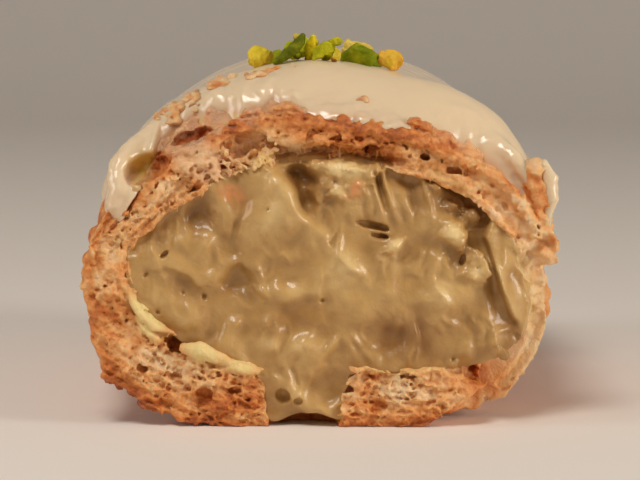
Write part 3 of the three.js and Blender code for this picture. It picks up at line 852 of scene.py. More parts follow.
def cell_walls(nodes, links, scale):
    """1 on the thin walls between the bubbles of a crumb and 0 inside them; scale is in bubbles a metre."""
    place = own_place(nodes)
    node = nodes.new("ShaderNodeTexVoronoi")
    node.feature = "DISTANCE_TO_EDGE"
    node.inputs["Scale"].default_value = scale
    shift = nodes.new("ShaderNodeTexNoise")
    shift.inputs["Scale"].default_value = scale
    links.new(place, shift.inputs["Vector"])
    bent = nodes.new("ShaderNodeVectorMath")
    bent.operation = "MULTIPLY_ADD"
    bent.inputs[1].default_value = (0.9 / scale, 0.9 / scale, 0.9 / scale)
    links.new(shift.outputs["Color"], bent.inputs[0])
    links.new(place, bent.inputs[2])
    links.new(bent.outputs[0], node.inputs["Vector"])
    return fading(nodes, links, node.outputs["Distance"], 0.0, 0.35)


def nodules(nodes, links, scale):
    """1 on the tops of small round grains and 0 between them; scale is in grains a metre."""
    node = nodes.new("ShaderNodeTexVoronoi")
    node.feature = "SMOOTH_F1"
    set_sockets(node, {"Scale": scale, "Smoothness": 0.3})
    links.new(own_place(nodes), node.inputs["Vector"])
    return fading(nodes, links, node.outputs["Distance"], 0.1, 0.7)


def product(nodes, links, first, second):
    """One share times another."""
    node = nodes.new("ShaderNodeMath")
    node.operation = "MULTIPLY"
    links.new(first, node.inputs[0])
    links.new(second, node.inputs[1])
    return node.outputs[0]


def choux_material():
    material, nodes, links, surface = new_material("baked_choux")
    browning = colour_steps(nodes, [
        (0.0, (252, 214, 168)),
        (0.22, (246, 192, 130)),
        (0.45, (234, 158, 86)),
        (0.7, (210, 120, 48)),
        (1.0, (152, 68, 18)),
    ])
    grain = noise_node(nodes, links, 900.0, 5.0, 0.7)
    walls = product(nodes, links, cell_walls(nodes, links, 1500.0), read_paint(nodes, "crumb"))
    grains = product(nodes, links, nodules(nodes, links, 1000.0), read_paint(nodes, "crust"))
    bake = scaled(nodes, links, grain, 0.6, scaled(nodes, links, read_paint(nodes, "bake"), 1.0, -0.3))
    bake = scaled(nodes, links, grains, -0.24, scaled(nodes, links, bake, 1.0, 0.08))
    links.new(scaled(nodes, links, walls, -0.16, scaled(nodes, links, bake, 1.0, 0.05)), browning.inputs[0])
    # painted shade: the hollows behind the torn face are mixed towards a dark orange-brown
    deep = mixed(nodes, links, read_paint(nodes, "painted_shade"), browning.outputs[0], from_srgb(186, 98, 34))
    skinned = mixed(nodes, links, read_paint(nodes, "pale"), deep, from_srgb(246, 218, 148))
    glazed = mixed(nodes, links, scaled(nodes, links, read_paint(nodes, "glaze"), 0.5, 0.0), skinned,
                   from_srgb(248, 214, 172))
    links.new(glazed, surface.inputs["Base Color"])
    links.new(scaled(nodes, links, read_paint(nodes, "glaze"), -0.24, 0.43), surface.inputs["Roughness"])
    set_sockets(surface, {
        "Specular IOR Level": 0.5,
        "Subsurface Weight": 0.35,
        "Subsurface Radius": (1.0, 0.55, 0.25),
        "Subsurface Scale": 0.7 * MM,
    })
    fine = noise_node(nodes, links, 3200.0, 4.0, 0.75)
    heights = [(grains, 0.6, 0.4), (walls, 0.4, 0.25), (grain, 0.6, 0.45), (fine, 0.7, 0.2)]
    add_bump(nodes, links, heights, surface)
    return material


choux_finish = choux_material()
for choux in (torn_wall_piece(), crust_piece()):
    colour_choux(choux)
    choux.data.materials.append(choux_finish)
    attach(choux, "root")
    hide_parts("choux_shell")

# Pistachio cream
# A soft pastry cream of ground pistachio, piped in through the hole below until the shell was full.
# The knife smeared its face into folds, dents and slits, with small bubbles left open.
CREAM_FRONT = 0.2
CREAM_MARKS = [
    # dents (depth above 0) and swells (below 0) of the face: middle, half sizes, tilt, depth in mm
    ((-4.8, 22.0), (2.6, 3.6), 25, -0.7),
    ((-12.0, 21.4), (1.3, 1.9), 15, 0.7),
    ((-8.9, 21.2), (1.2, 1.6), 10, -0.35),
    ((-7.9, 14.4), (1.7, 1.5), 0, 0.8),
    ((-14.0, 14.0), (3.0, 1.2), -20, 0.4),
    ((-14.0, 11.6), (3.4, 1.8), -25, -0.3),
    ((-16.0, 20.0), (1.8, 1.6), 40, 0.4),
    ((8.5, 12.5), (5.5, 2.6), 10, -0.6),
    ((10.0, 10.8), (1.4, 1.4), 0, 0.35),
    ((6.8, 8.6), (2.6, 1.3), 0, 0.5),
    ((-1.6, 13.6), (2.4, 1.1), 10, -0.6),
    ((-3.6, 13.4), (1.0, 1.2), 10, -0.35),
    ((-1.4, 7.4), (1.9, 1.9), 0, -0.7),
    ((-5.0, 8.6), (1.1, 1.1), 0, -0.3),
    ((2.6, 16.4), (3.6, 2.0), -10, -0.6),
    ((5.0, 15.0), (1.6, 1.2), 20, 0.3),
    ((13.0, 13.6), (2.6, 1.8), 20, -0.6),
    ((8.6, 25.0), (3.0, 1.0), -12, 0.8),
    ((14.2, 22.3), (2.6, 1.7), -35, 0.9),
    ((14.6, 10.8), (1.2, 1.0), -20, 0.4),
    ((18.3, 8.2), (1.0, 1.0), 0, -0.4),
    ((-1.6, 25.2), (1.5, 1.2), -30, 2.0),
    ((-1.1, 22.8), (0.8, 1.1), 40, 1.6),
]
CREAM_RIDGES = [
    # raised folds, or furrows where the height is below 0: points, height, half widths to the left and the
    # right of the way along
    # the tongue that hangs from the top
    ([(-4.9, 25.7), (-3.8, 25.2), (-2.7, 24.2), (-2.5, 23.1), (-2.1, 22.0), (-1.0, 20.9), (0.6, 19.2)],
     1.4, 0.55, 1.6),
    # folds at the left
    ([(-16.1, 16.1), (-15.3, 16.5), (-14.0, 16.1), (-12.5, 15.3), (-11.4, 14.8)], 0.5, 1.3, 0.4),
    ([(-10.1, 15.3), (-9.1, 16.1), (-7.5, 16.5), (-6.4, 15.9)], 0.45, 0.9, 0.4),
    ([(-10.1, 15.3), (-9.5, 14.3), (-8.2, 12.8), (-6.7, 11.6)], 0.3, 0.4, 0.7),
    ([(-11.3, 20.4), (-11.0, 18.8), (-11.1, 16.6)], 0.35, 0.5, 0.7),
    ([(-10.2, 18.0), (-9.2, 16.4)], 0.25, 0.4, 0.4),
    ([(-5.3, 19.7), (-4.6, 21.0)], 0.2, 0.2, 0.3),
    ([(-7.2, 23.7), (-7.8, 20.6), (-8.8, 18.1)], -0.5, 0.9, 0.9),
    # folds at the right
    ([(16.9, 18.2), (18.5, 14.8), (19.0, 12.4), (20.5, 10.5)], 0.6, 0.5, 0.9),
    ([(17.8, 9.8), (20.4, 9.7)], 0.4, 0.5, 0.35),
    ([(15.4, 10.7), (16.4, 9.8), (16.3, 8.3)], 0.4, 0.5, 0.3),
    ([(13.0, 12.6), (14.0, 10.8), (13.6, 9.0)], 0.25, 0.7, 0.5),
    # folds above and in the filling hole
    ([(-3.3, 6.4), (-2.9, 7.6), (-1.6, 8.4), (0.2, 8.1)], 0.45, 0.7, 0.5),
    ([(-5.4, 5.2), (-2.2, 3.8), (-0.2, 2.4), (1.0, 0.8)], 0.6, 0.5, 1.3),
    # a fold below the beads, and a furrow in the hole
    ([(12.0, 20.6), (12.4, 18.6), (12.2, 16.0)], 0.3, 0.4, 0.8),
    ([(-2.2, 6.6), (-2.0, 4.2)], -0.3, 0.4, 0.4),
]
CREAM_SCARP = [
    # sharp edge of the groove at the right, from below upwards
    (21.4, 9.8), (19.8, 11.2), (18.8, 13.6), (17.9, 16.4), (17.0, 19.2), (18.2, 22.0),
]
CREAM_SLITS = [
    # cuts and pits in the face: middle, half sizes, tilt
    ((5.6, 20.3), (1.7, 1.0, 0.4), -14),
    ((6.3, 19.2), (0.95, 0.9, 0.3), -6),
    ((14.5, 16.9), (0.26, 0.5, 0.65), -20),
    ((0.5, 12.8), (0.25, 0.4, 0.22), 0),
]
CREAM_BEADS = [
    # lumps of cream that stand out: middle, half sizes, tilt
    ((13.2, 0.5, 19.9), (1.2, 0.9, 1.0), 20),
    ((14.0, 0.5, 19.0), (0.8, 0.8, 1.2), 25),
    ((7.8, -0.1, 18.5), (1.2, 0.5, 0.45), 42),
    ((15.7, 0.4, 17.4), (0.8, 0.7, 0.7), -20),
    ((16.6, 0.5, 16.2), (0.6, 0.7, 1.0), 12),
    ((15.6, 0.3, 15.3), (1.2, 0.7, 0.5), -15),
    ((18.5, 0.4, 7.6), (0.45, 0.5, 0.8), 15),
    ((11.6, 1.2, 24.0), (0.8, 0.9, 0.6), -10),
    ((13.3, 1.7, 22.3), (1.0, 0.9, 0.6), 20),
    ((15.4, 1.6, 21.2), (0.8, 0.9, 0.7), -30),
    ((2.4, 0.8, 26.0), (3.0, 1.1, 0.75), -6),
    ((5.3, 0.5, 25.6), (0.9, 0.8, 0.6), 30),
    ((0.8, 0.9, 24.2), (0.6, 0.7, 1.2), -30),
    ((3.9, 0.1, 24.5), (0.6, 0.5, 0.6), -30),
    ((4.1, 0.1, 23.6), (0.5, 0.4, 0.6), 10),
    ((2.4, 0.3, 23.6), (1.0, 0.4, 0.6), -25),
]
CREAM_BUBBLES = [
    # bubbles that the knife opened: middle, half sizes, tilt
    ((-15.2, 17.4), (0.55, 0.27), 42),
    ((-11.3, 13.1), (0.26, 0.36), 10),
    ((-13.4, 13.5), (0.18, 0.2), 0),
    ((-17.1, 15.3), (0.18, 0.34), -20),
    ((-15.9, 11.6), (0.22, 0.3), 20),
    ((13.6, 6.8), (0.26, 0.24), 0),
    ((-3.4, 3.1), (0.78, 0.85), 0),
    ((-1.9, 2.6), (0.5, 0.45), 20),
    ((-4.8, 22.0), (0.16, 0.13), 20),
]


def along_line(x, z, points):
    """Distance from a line of points, the side of it (1 to the left), and the share of its length."""
    best = np.full_like(x, 1000.0)
    side = np.zeros_like(x)
    place = np.zeros_like(x)
    for k in range(len(points) - 1):
        (ax, az), (bx, bz) = points[k], points[k + 1]
        dx, dz = bx - ax, bz - az
        share = np.clip(((x - ax) * dx + (z - az) * dz) / (dx * dx + dz * dz), 0.0, 1.0)
        away = np.hypot(x - ax - share * dx, z - az - share * dz)
        nearer = away < best
        best = np.where(nearer, away, best)
        side = np.where(nearer, np.sign((z - az) * dx - (x - ax) * dz), side)
        place = np.where(nearer, k + share, place)
    return best, side, place / (len(points) - 1)


def cream_face(x, z):
    """How far behind the cutting plane the cream's face lies, in mm."""
    flat = np.zeros_like(x)
    wander_x = x + 0.5 * lumps(x, flat, z, 2.2, 58)
    wander_z = z + 0.5 * lumps(x, flat, z, 2.2, 59)
    depth = CREAM_FRONT + 0.5 * lumps(x, flat, z, 6.0, 51) + 0.26 * lumps(x, flat, z, 2.8, 52)
    pulled_x = x + 1.3 * lumps(x, flat, z, 4.0, 65)
    pulled_z = z + 1.3 * lumps(x, flat, z, 4.0, 66)
    for size, height, seed in ((3.2, 0.42, 67), (1.5, 0.16, 68)):
        fold = np.abs(lumps(pulled_x, flat, 0.55 * pulled_z, size, seed))
        depth -= height * (1.0 - ramp(fold, 0.0, 0.4)) * ramp(lumps(x, flat, z, 3.6, 69), -0.35, 0.35)
    streak = lumps(x + 0.25 * z, flat, 0.22 * z, 0.9, 53)
    drawn = ramp(z, 19.0, 22.0) * ramp(x, -0.5, 2.0) * (1.0 - ramp(x, 10.0, 13.0))
    depth += 0.8 * drawn * streak + 0.09 * lumps(x, flat, z, 1.1, 54)
    for middle, (across, up), tilt, deep in CREAM_MARKS:
        along, over = turned(wander_x, wander_z, middle, tilt)
        depth += deep * np.exp(-((along / across) ** 2 + (over / up) ** 2) ** 1.4)
    away, side, share = along_line(x, z, CREAM_SCARP)
    beside = np.where(side > 0, away, 0.0) * np.sin(np.clip(share, 0.02, 0.98) * math.pi) ** 0.5
    depth += 1.9 * ramp(beside, 0.0, 0.5) - 1.3 * ramp(beside, 0.6, 2.4)
    for points, height, left, right in CREAM_RIDGES:
        away, side, share = along_line(wander_x, wander_z, points)
        ends = np.maximum(np.sin((0.08 + 0.84 * share) * math.pi), 0.0) ** 0.6
        depth -= height * ends * np.exp(-(away / np.where(side > 0, left, right)) ** 2)
    return depth


def cream_front(x, z):
    """The cream's face, drawn back at its rim to where the torn wall stands."""
    depth = cream_face(x, z)
    level = np.zeros_like(x)
    from_rim = -np.minimum(opening_level(x, z), funnel_level(x, level + FILLING_HOLE["y"], z))
    meet = np.minimum(torn_depth(x, z) - 0.15, 1.7)
    return depth + (1.0 - ramp(from_rim, -0.2, 1.3)) * np.maximum(0.0, meet - depth)


def cream_piece():
    """The cream in the hollow, with its face and the plug in the filling hole, rounded off below."""
    cells = Cells((-21.0, -2.2, 0.0), (21.8, 60.0, 32.0), cell=0.15, fine_to=3.5, coarsest=0.8)
    hollow = hollow_form(cells)
    cream = np.maximum(hollow - 0.3, cells.face(cream_front))
    flat = 0.0 * cells.face_x
    below = 0.4 + rise(cells.face_x + 0.6, 3.6) + 0.3 * lumps(cells.face_x, flat, flat, 2.0, 57)
    below = below[:, None, :] - cells.all_z
    edge = np.clip(0.5 + 0.5 * (below - cream) / 0.9, 0.0, 1.0)
    cream = cream + (below - cream) * edge + 0.9 * edge * (1.0 - edge)
    for centre, half, tilt in CREAM_BEADS:
        melt(cream, cells.egg(centre, half, tilt, rough=0.25, seed=55), blend=0.8)
    for (x, z), half, tilt in CREAM_SLITS:
        centre = (x, at_place(cream_face, x, z) + 0.2, z)
        scoop(cream, cells.egg(centre, half, tilt, rough=0.1, seed=56), blend=0.25)
    for (x, z), (across, up), tilt in CREAM_BUBBLES:
        centre = (x, at_place(cream_face, x, z) + 0.1, z)
        scoop(cream, cells.egg(centre, (across, 1.2 * across, up), tilt), blend=0.08)
    points, quads = cells.skin(cream)
    return mesh_piece("pistachio_filling", relax(points, quads, rounds=1), quads)


CREAM_TONES = [
    # paler (above 0) and darker (below 0) places of the face: middle, half sizes, tilt, share
    ((2.6, 15.8), (5.0, 3.4), -10, 0.2),
    ((13.0, 14.0), (3.6, 2.4), 10, 0.2),
    ((13.5, 19.6), (1.7, 1.6), 0, 0.7),
    ((7.8, 18.5), (1.6, 1.0), 42, 0.6),
    ((16.4, 16.2), (2.0, 2.4), 0, 0.5),
    ((2.6, 26.0), (4.0, 1.2), -6, 0.6),
    ((1.9, 23.7), (1.3, 1.0), -20, 0.6),
    ((-5.0, 8.5), (1.4, 1.4), 0, 0.35),
    ((-2.8, 3.2), (2.8, 2.0), -20, 0.15),
    ((-1.4, 13.8), (2.6, 1.2), 0, 0.25),
    ((-4.6, 21.6), (2.4, 4.0), 25, 0.2),
    ((9.0, 9.2), (5.5, 3.6), 0, -0.25),
    ((19.6, 15.4), (1.6, 5.2), 12, -0.15),
    ((-3.0, 10.6), (7.0, 2.4), 0, -0.2),
    ((14.2, 22.4), (3.6, 2.6), -35, 0.05),
    # darker in the deep hollow right of the tongue: painted shade
    ((-1.8, 24.8), (2.2, 1.6), -30, -0.4),
    # darker on the dent at the upper left: painted shade
    ((-11.8, 21.2), (1.8, 2.4), 15, -0.2),
    ((-0.6, 5.2), (1.6, 2.6), 0, -0.15),
]
CREAM_CRUMBS = [
    # where crumbs stuck: middle, half sizes, tilt, share
    ((-8.6, 23.6), (2.4, 1.2), -10, 1.2),
    ((-8.0, 22.4), (2.0, 1.2), -20, 0.35),
    ((3.9, 24.1), (0.9, 1.2), -10, 2.0),
    ((3.0, 23.4), (0.9, 0.7), -30, 0.5),
]


def colour_cream(piece):
    """Shades the cream: pale on its lumps and patches, darker in other patches, orange where crumbs stuck,
    with painted light and shade: paler on the crests of the face and darker in its hollows.
    """
    x, y, z = places_mm(piece)
    cloud = lumps(x, y, z, 3.0, 62) + 0.6 * lumps(x, y, z, 1.2, 63)
    face = 1.0 - ramp(y, 4.0, 7.0)
    # painted light and shade: paler where the face stands forward, darker where it lies back
    crest = np.clip(0.25 * (0.1 - cream_face(x, z)), -0.3, 0.2)
    paint(piece, "tone", 0.49 + 0.12 * cloud + face * (crest + patches(x, z, CREAM_TONES)))
    paint(piece, "crumbs", face * patches(x, z, CREAM_CRUMBS) * (0.7 + 0.8 * lumps(x, y, z, 0.6, 64)))


def cream_material():
    material, nodes, links, surface = new_material("pistachio_cream")
    cloud = noise_node(nodes, links, 500.0, 4.0, 0.6)
    tone = colour_steps(nodes, [
        (0.0, (150, 104, 52)),
        (0.4, (192, 150, 90)),
        (0.6, (206, 166, 104)),
        (1.0, (236, 206, 146)),
    ])
    links.new(scaled(nodes, links, cloud, 0.3, scaled(nodes, links, read_paint(nodes, "tone"), 1.0, -0.15)),
              tone.inputs[0])
    stuck = mixed(nodes, links, read_paint(nodes, "crumbs"), tone.outputs[0], from_srgb(226, 150, 92))
    links.new(stuck, surface.inputs["Base Color"])
    set_sockets(surface, {
        "Roughness": 0.4,
        "Coat Weight": 0.4,
        "Coat Roughness": 0.12,
        "Specular IOR Level": 0.3,
        "Subsurface Weight": 0.15,
        "Subsurface Radius": (1.0, 0.65, 0.3),
        "Subsurface Scale": 0.6 * MM,
    })
    smear = noise_node(nodes, links, 420.0, 4.0, 0.6)
    fine = noise_node(nodes, links, 1900.0, 3.0, 0.6)
    add_bump(nodes, links, [(smear, 0.28, 0.5), (fine, 0.42, 0.2)], surface)
    return material


cream = cream_piece()
colour_cream(cream)
cream.data.materials.append(cream_material())
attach(cream, "root")
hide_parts("pistachio_cream")

# Icing
# A white chocolate icing, poured warm over the top. It ran down in drips, drew thin over the edge of the
# cut where the crust shows through it, and set glossy.
ICING_DEPTH = 1.3
ICING_END = 57.0
ICING_ROOT = 0.9
ICING_EDGE = {"right": 27.0, "left": 150.0, "wave": 3.5, "pitch": 3.1}
DRIPS = [
    # side, place behind the cut, drop in degrees, half width, bead at the tip
    ("right", 4.2, 16.0, 6.5, 0.3),
    ("left", 3.4, 10.0, 6.0, 0.2),
    ("right", 20.0, 13.0, 6.0, 0.4),
    ("left", 16.0, 15.0, 6.5, 0.4),
    ("right", 34.0, 15.0, 7.0, 0.5),
    ("left", 30.0, 10.0, 7.0, 0.4),
    ("left", 42.0, 12.0, 6.0, 0.4),
]
ICING_ROPES = [
    # thick places and webs at the edge of the cut: points, radii
    # the drip at the left of the cut
    ([(-16.4, 5.6, 29.6), (-18.4, 3.6, 27.8), (-19.7, 1.9, 26.2), (-19.9, 1.0, 24.8), (-19.5, 0.6, 23.7),
      (-20.0, 0.6, 22.4), (-19.7, 0.6, 21.3)], [0.6, 1.0, 1.1, 1.0, 1.1, 0.95, 0.5]),
    # the right shoulder, and the flap on the knob
    ([(17.8, 3.8, 28.2), (19.6, 2.8, 26.8), (20.8, 2.2, 25.2), (21.2, 1.9, 23.8)], [0.8, 0.9, 0.7, 0.3]),
    ([(22.5, 2.2, 26.2), (23.2, 1.8, 24.8), (23.3, 1.6, 22.9), (22.9, 1.7, 21.3), (23.1, 1.9, 19.8)],
     [0.65, 0.8, 0.75, 0.45, 0.3]),
]
ICING_CUP = ((-16.8, 1.0, 26.0), (2.6, 2.5, 1.6), 26)
ICING_CUP_TAIL = ([(-17.8, 0.6, 25.2), (-18.4, 0.5, 23.4)], [1.0, 0.5])


def soft_least(first, second, blend):
    """The smaller of two, with the corner between them rounded off."""
    mix = np.clip(0.5 + 0.5 * (second - first) / blend, 0.0, 1.0)
    return second + (first - second) * mix - blend * mix * (1.0 - mix)


def icing_depth(angle, x, y):
    """Depth of the icing over the smooth crust, in mm: below 0 where there is none."""
    right = ICING_EDGE["right"] + ICING_EDGE["wave"] * np.sin(y / ICING_EDGE["pitch"])
    left = ICING_EDGE["left"] + ICING_EDGE["wave"] * np.cos(y / ICING_EDGE["pitch"])
    for side, middle, drop, half, _ in DRIPS:
        down = drop * rise(y - middle, half) ** (0.5 if middle > 10.0 else 1.0)
        if side == "right":
            right = right - down
        else:
            left = left + down
    inside = np.minimum(angle - right, left - angle)
    end = ICING_END + 1.0 + 0.9 * np.sin(np.radians(angle) * 5.0)
    inside = soft_least(inside, (end - y) * 3.0, 24.0)
    inside = np.minimum(inside, (y - icing_start(x)) * 7.0)
    bead = 0.0
    for side, middle, _, half, swell in DRIPS:
        from_tip = angle - right if side == "right" else left - angle
        bead = bead + swell * rise(y - middle, half) * rise(from_tip - 10.0, 20.0)
    thin = 0.6 * (1.0 - ramp(y, 0.0, 5.0))
    crest = 0.45 * rise(y - 8.0, 6.0)
    sides = 0.35 * np.cos(np.radians(angle)) ** 2 - 1.1 * rise(angle - 46.0, 26.0) * rise(y - 6.0, 8.0)
    rolled = np.clip(inside / 10.0, 0.0, 1.0)
    over = (ICING_DEPTH + bead + crest - thin - sides) * np.sqrt(rolled * (2.0 - rolled))
    return np.where(inside > 0.0, over, np.maximum(-ICING_ROOT - 0.6, 0.45 * inside))


def icing_relief(x, y, z):
    """Waves of the icing, and the crags that it follows where it is thin at its edge."""
    hugging = 0.55 * (1.0 - ramp(y - icing_start(x), 0.3, 3.2)) * crag_height(x, y, z)
    return 0.16 * lumps(x, y, z, 5.0, 71) + 0.05 * lumps(x, y, z, 2.0, 72) + hugging


def icing_piece():
    """The coat of icing, with a cup behind the drip at the left of the cut."""
    cells = Cells((-26.0, -2.0, 12.0), (26.6, 60.0, 39.5), cell=0.17, fine_to=8.0, coarsest=0.45)
    crust = cells.work_out(crust_level)
    angle = np.degrees(np.arctan2(cells.all_z - WAIST, cells.all_x))
    icing = crust - icing_depth(np.where(angle < -90.0, angle + 360.0, angle), cells.all_x, cells.all_y)
    cells.roughen(icing, icing_relief, 2.0)
    icing = np.maximum(icing, -(crust + ICING_ROOT))
    for number, (points, radii) in enumerate(ICING_ROPES):
        melt(icing, cells.rope(points, radii, rough=0.08, seed=380 + number), blend=1.0)
    scoop(icing, cells.egg(*ICING_CUP, rough=0.1, seed=75), blend=0.3)
    dig(icing, cells.rope(*ICING_CUP_TAIL, rough=0.1, seed=76))
    points, quads = cells.skin(icing)
    return mesh_piece("icing_coat", relax(points, quads, rounds=2), quads)


def colour_icing(piece):
    """Notes how deep the icing covers the crust, and where the cup at the left gets painted shade: the
    olive-yellow look of the icing's underside in the shade of the cup.
    """
    x, y, z = places_mm(piece)
    over_crust = crust_level(x, y, z) - 0.4 * crag_height(x, y, z)
    over_cut = torn_depth(x, z) - y + 0.4
    paint(piece, "cover", np.maximum(over_crust, np.where(y < 2.0, 0.7 * over_cut, 0.0)) / 2.0)
    # the cup's inside, for painted shade: the ivory icing is tinted olive-yellow there, as it looks in shade
    in_cup = rise(np.hypot((x + 16.6) / 3.4, (z - 26.1) / 2.1), 1.0)
    paint(piece, "cup", 1.6 * in_cup * ramp(y, 0.6, 1.8) * (1.0 - ramp(y, 3.6, 4.4)))


def icing_material():
    material, nodes, links, surface = new_material("poured_icing")
    through = colour_steps(nodes, [
        (0.0, (236, 198, 140)),
        (0.12, (226, 186, 150)),
        (0.3, (228, 200, 166)),
        (0.55, (231, 206, 170)),
    ])
    links.new(read_paint(nodes, "cover"), through.inputs[0])
    # painted shade: the cup's inside is mixed towards olive-yellow
    cup_painted_shade = mixed(nodes, links, read_paint(nodes, "cup"), through.outputs[0], from_srgb(212, 168, 74))
    links.new(cup_painted_shade, surface.inputs["Base Color"])
    set_sockets(surface, {
        "Roughness": 0.18,
        "Specular IOR Level": 0.5,
        "Subsurface Weight": 0.35,
        "Subsurface Radius": (1.0, 0.7, 0.45),
        "Subsurface Scale": 1.4 * MM,
    })
    wave = noise_node(nodes, links, 260.0, 3.0, 0.5)
    add_bump(nodes, links, [(wave, 0.12, 0.6)], surface)
    return material


icing_coat = icing_piece()
colour_icing(icing_coat)
icing_coat.data.materials.append(icing_material())
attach(icing_coat, "root")
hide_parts("icing")

# Crumbs in the icing
# Grains of baked crust that broke off at the cut.
# They stuck in the icing while it was still soft.
CRUMB_PLACES = [
    # middle, spread across and along, number of grains, largest half size
    ((-14.2, 7.0), (2.2, 1.5), 80, 0.36),
    ((-9.7, 7.2), (1.3, 0.9), 40, 0.4),
    ((-5.7, 6.8), (1.5, 1.0), 26, 0.34),
    ((-2.1, 6.4), (0.3, 0.3), 2, 0.28),
    ((4.2, 2.8), (0.8, 0.3), 6, 0.3),
]
icing_spots = places_mm(icing_coat)


def top_of(spots, x, y):
    """Height of a piece's upper side at a place, from its points in mm."""
    away = (spots[0] - x) ** 2 + (spots[1] - y) ** 2 + 100.0 * (spots[2] < 24.0)
    nearest = spots[2][np.argpartition(away, 12)[:12]]
    return float(np.mean(nearest[nearest > nearest.max() - 0.4]))


def crumb_piece():
    """All the grains, set a little into the icing."""
    cells = Cells((-20.0, 0.5, 24.0), (21.0, 11.5, 37.0), cell=0.13, fine_to=11.0, coarsest=0.13)
    crumbs = np.ones((len(cells.x), len(cells.y), len(cells.z)), np.float32)
    rng = np.random.default_rng(83)
    for (middle_x, middle_y), (across, along), count, largest in CRUMB_PLACES:
        for _ in range(count):
            x = middle_x + across * rng.uniform(-1.0, 1.0)
            y = middle_y + along * rng.uniform(-1.0, 1.0)
            size = largest * (0.4 + 0.6 * rng.random() ** 2)
            centre = (x, y, top_of(icing_spots, x, y) - 0.15 * size)
            half = (size * rng.uniform(1.0, 1.5), size * 1.1, size * 0.85)
            melt(crumbs, cells.egg(centre, half, rng.uniform(-40, 40), rough=0.14, seed=84), blend=0.3)
    return mesh_piece("crust_crumbs", *cells.skin(crumbs))


crumbs = crumb_piece()
cx, cy, cz = places_mm(crumbs)
paint(crumbs, "bake", 0.3 + 0.35 * lumps(cx, cy, cz, 1.1, 85))
paint(crumbs, "crust", np.ones_like(cx))
paint(crumbs, "glaze", 0.4 + 0.6 * lumps(cx, cy, cz, 1.6, 86))
crumbs.data.materials.append(choux_finish)
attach(crumbs, "root")
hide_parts("choux_shell")

# Chopped pistachio
# Kernels chopped with a knife into uneven bits, green inside and yellow near the skin,
# dropped on the icing before it set.
NUTS = [
    # place on the icing, half sizes, tilt in degrees, how far it stands clear, colour
    # the heap in front
    ((-5.9, 10.6), (1.35, 1.0, 1.1), 14, 1.1, (236, 204, 64)),
    ((-2.9, 8.6), (2.2, 0.9, 0.75), 42, 1.2, (100, 108, 0)),
    ((-2.2, 9.2), (0.5, 0.6, 1.0), 20, 0.8, (132, 138, 0)),
    ((-1.7, 11.6), (1.9, 0.8, 1.0), 14, 1.4, (176, 186, 30)),
    ((-1.9, 12.6), (0.5, 0.6, 0.8), 60, 2.4, (230, 200, 110)),
    ((-0.6, 9.6), (0.8, 0.8, 1.5), -28, 1.1, (226, 200, 30)),
    ((0.9, 9.8), (0.7, 0.8, 1.3), -18, 1.1, (180, 174, 10)),
    ((1.5, 10.2), (1.0, 0.6, 0.5), 16, 2.0, (206, 198, 40)),
    ((0.3, 8.8), (1.3, 0.6, 0.7), 35, 0.9, (184, 180, 24)),
    ((1.6, 8.6), (0.3, 0.3, 0.3), 0, 0.15, (130, 76, 22)),
    ((4.1, 9.6), (1.8, 1.1, 1.3), -10, 1.0, (124, 136, 0)),
    ((3.9, 12.0), (1.8, 0.8, 1.2), 4, 1.5, (234, 202, 100)),
    ((7.3, 10.8), (1.3, 1.0, 1.05), -24, 1.1, (236, 180, 70)),
    # three bits behind it
    ((-4.4, 16.2), (1.3, 1.2, 0.8), 40, 0.5, (140, 156, 20)),
    ((1.2, 17.6), (1.5, 1.0, 0.9), -30, 0.5, (216, 190, 60)),
    ((5.8, 18.4), (1.1, 1.3, 0.8), 10, 0.5, (124, 140, 6)),
]


def nut_piece():
    """All the bits, each a blunt block with seven cut faces, and their middles."""
    cells = Cells((-9.0, 5.5, 32.0), (10.0, 21.0, 40.5), cell=0.11, fine_to=20.5, coarsest=0.11)
    bits = np.ones((len(cells.x), len(cells.y), len(cells.z)), np.float32)
    rng = np.random.default_rng(91)
    middles = []
    for number, ((x, y), half, tilt, clear, _) in enumerate(NUTS):
        centre = np.array([x, y, top_of(icing_spots, x, y) + clear])
        middles.append(centre)
        reach = 1.3 * max(half) + 0.3
        part, (px, py, pz) = cells.part(centre - reach, centre + reach)
        along, up = turned(px, pz, (centre[0], centre[2]), tilt)
        back = py - centre[1]
        far = np.abs(along / half[0]) ** 3 + np.abs(back / half[1]) ** 3 + np.abs(up / half[2]) ** 3
        level = (far ** (1.0 / 3.0) - 1.0) * min(half)
        for _ in range(7):
            way = rng.normal(size=3) / np.array(half)
            way /= np.linalg.norm(way)
            deep = rng.uniform(0.55, 0.9) * np.linalg.norm(way * np.array(half))
            level = np.maximum(level, along * way[0] + back * way[1] + up * way[2] - deep)
        level = level + 0.12 * lumps(px, py, pz, 0.7, 400 + 2 * number)
        level = level + 0.07 * lumps(px, py, pz, 0.35, 401 + 2 * number)
        bits[part] = np.minimum(bits[part], level)
    return mesh_piece("chopped_pistachio", *cells.skin(bits)), np.array(middles)


def colour_nuts(piece, middles):
    """Gives every point the colour of the bit that it belongs to."""
    x, y, z = places_mm(piece)
    far = []
    for middle, (_, half, tilt, _, _) in zip(middles, NUTS):
        along, across = turned(x, z, (middle[0], middle[2]), tilt)
        far.append((along / half[0]) ** 2 + ((y - middle[1]) / half[1]) ** 2 + (across / half[2]) ** 2)
    owner = np.argmin(far, axis=0)
    shades = np.array([from_srgb(*nut[4]) for nut in NUTS])[owner]
    mottle = 0.5 * lumps(x, y, z, 1.5, 95) + 0.15 * lumps(x, y, z, 0.5, 96)
    paler = np.clip(0.06 + mottle, 0.0, 0.4)[:, None]
    shades = shades * (1.0 - paler) + np.array(from_srgb(210, 200, 24)) * paler
    layer = piece.data.attributes.new("nut_colour", "FLOAT_COLOR", "POINT")
    layer.data.foreach_set("color", shades.astype(np.float32).ravel())


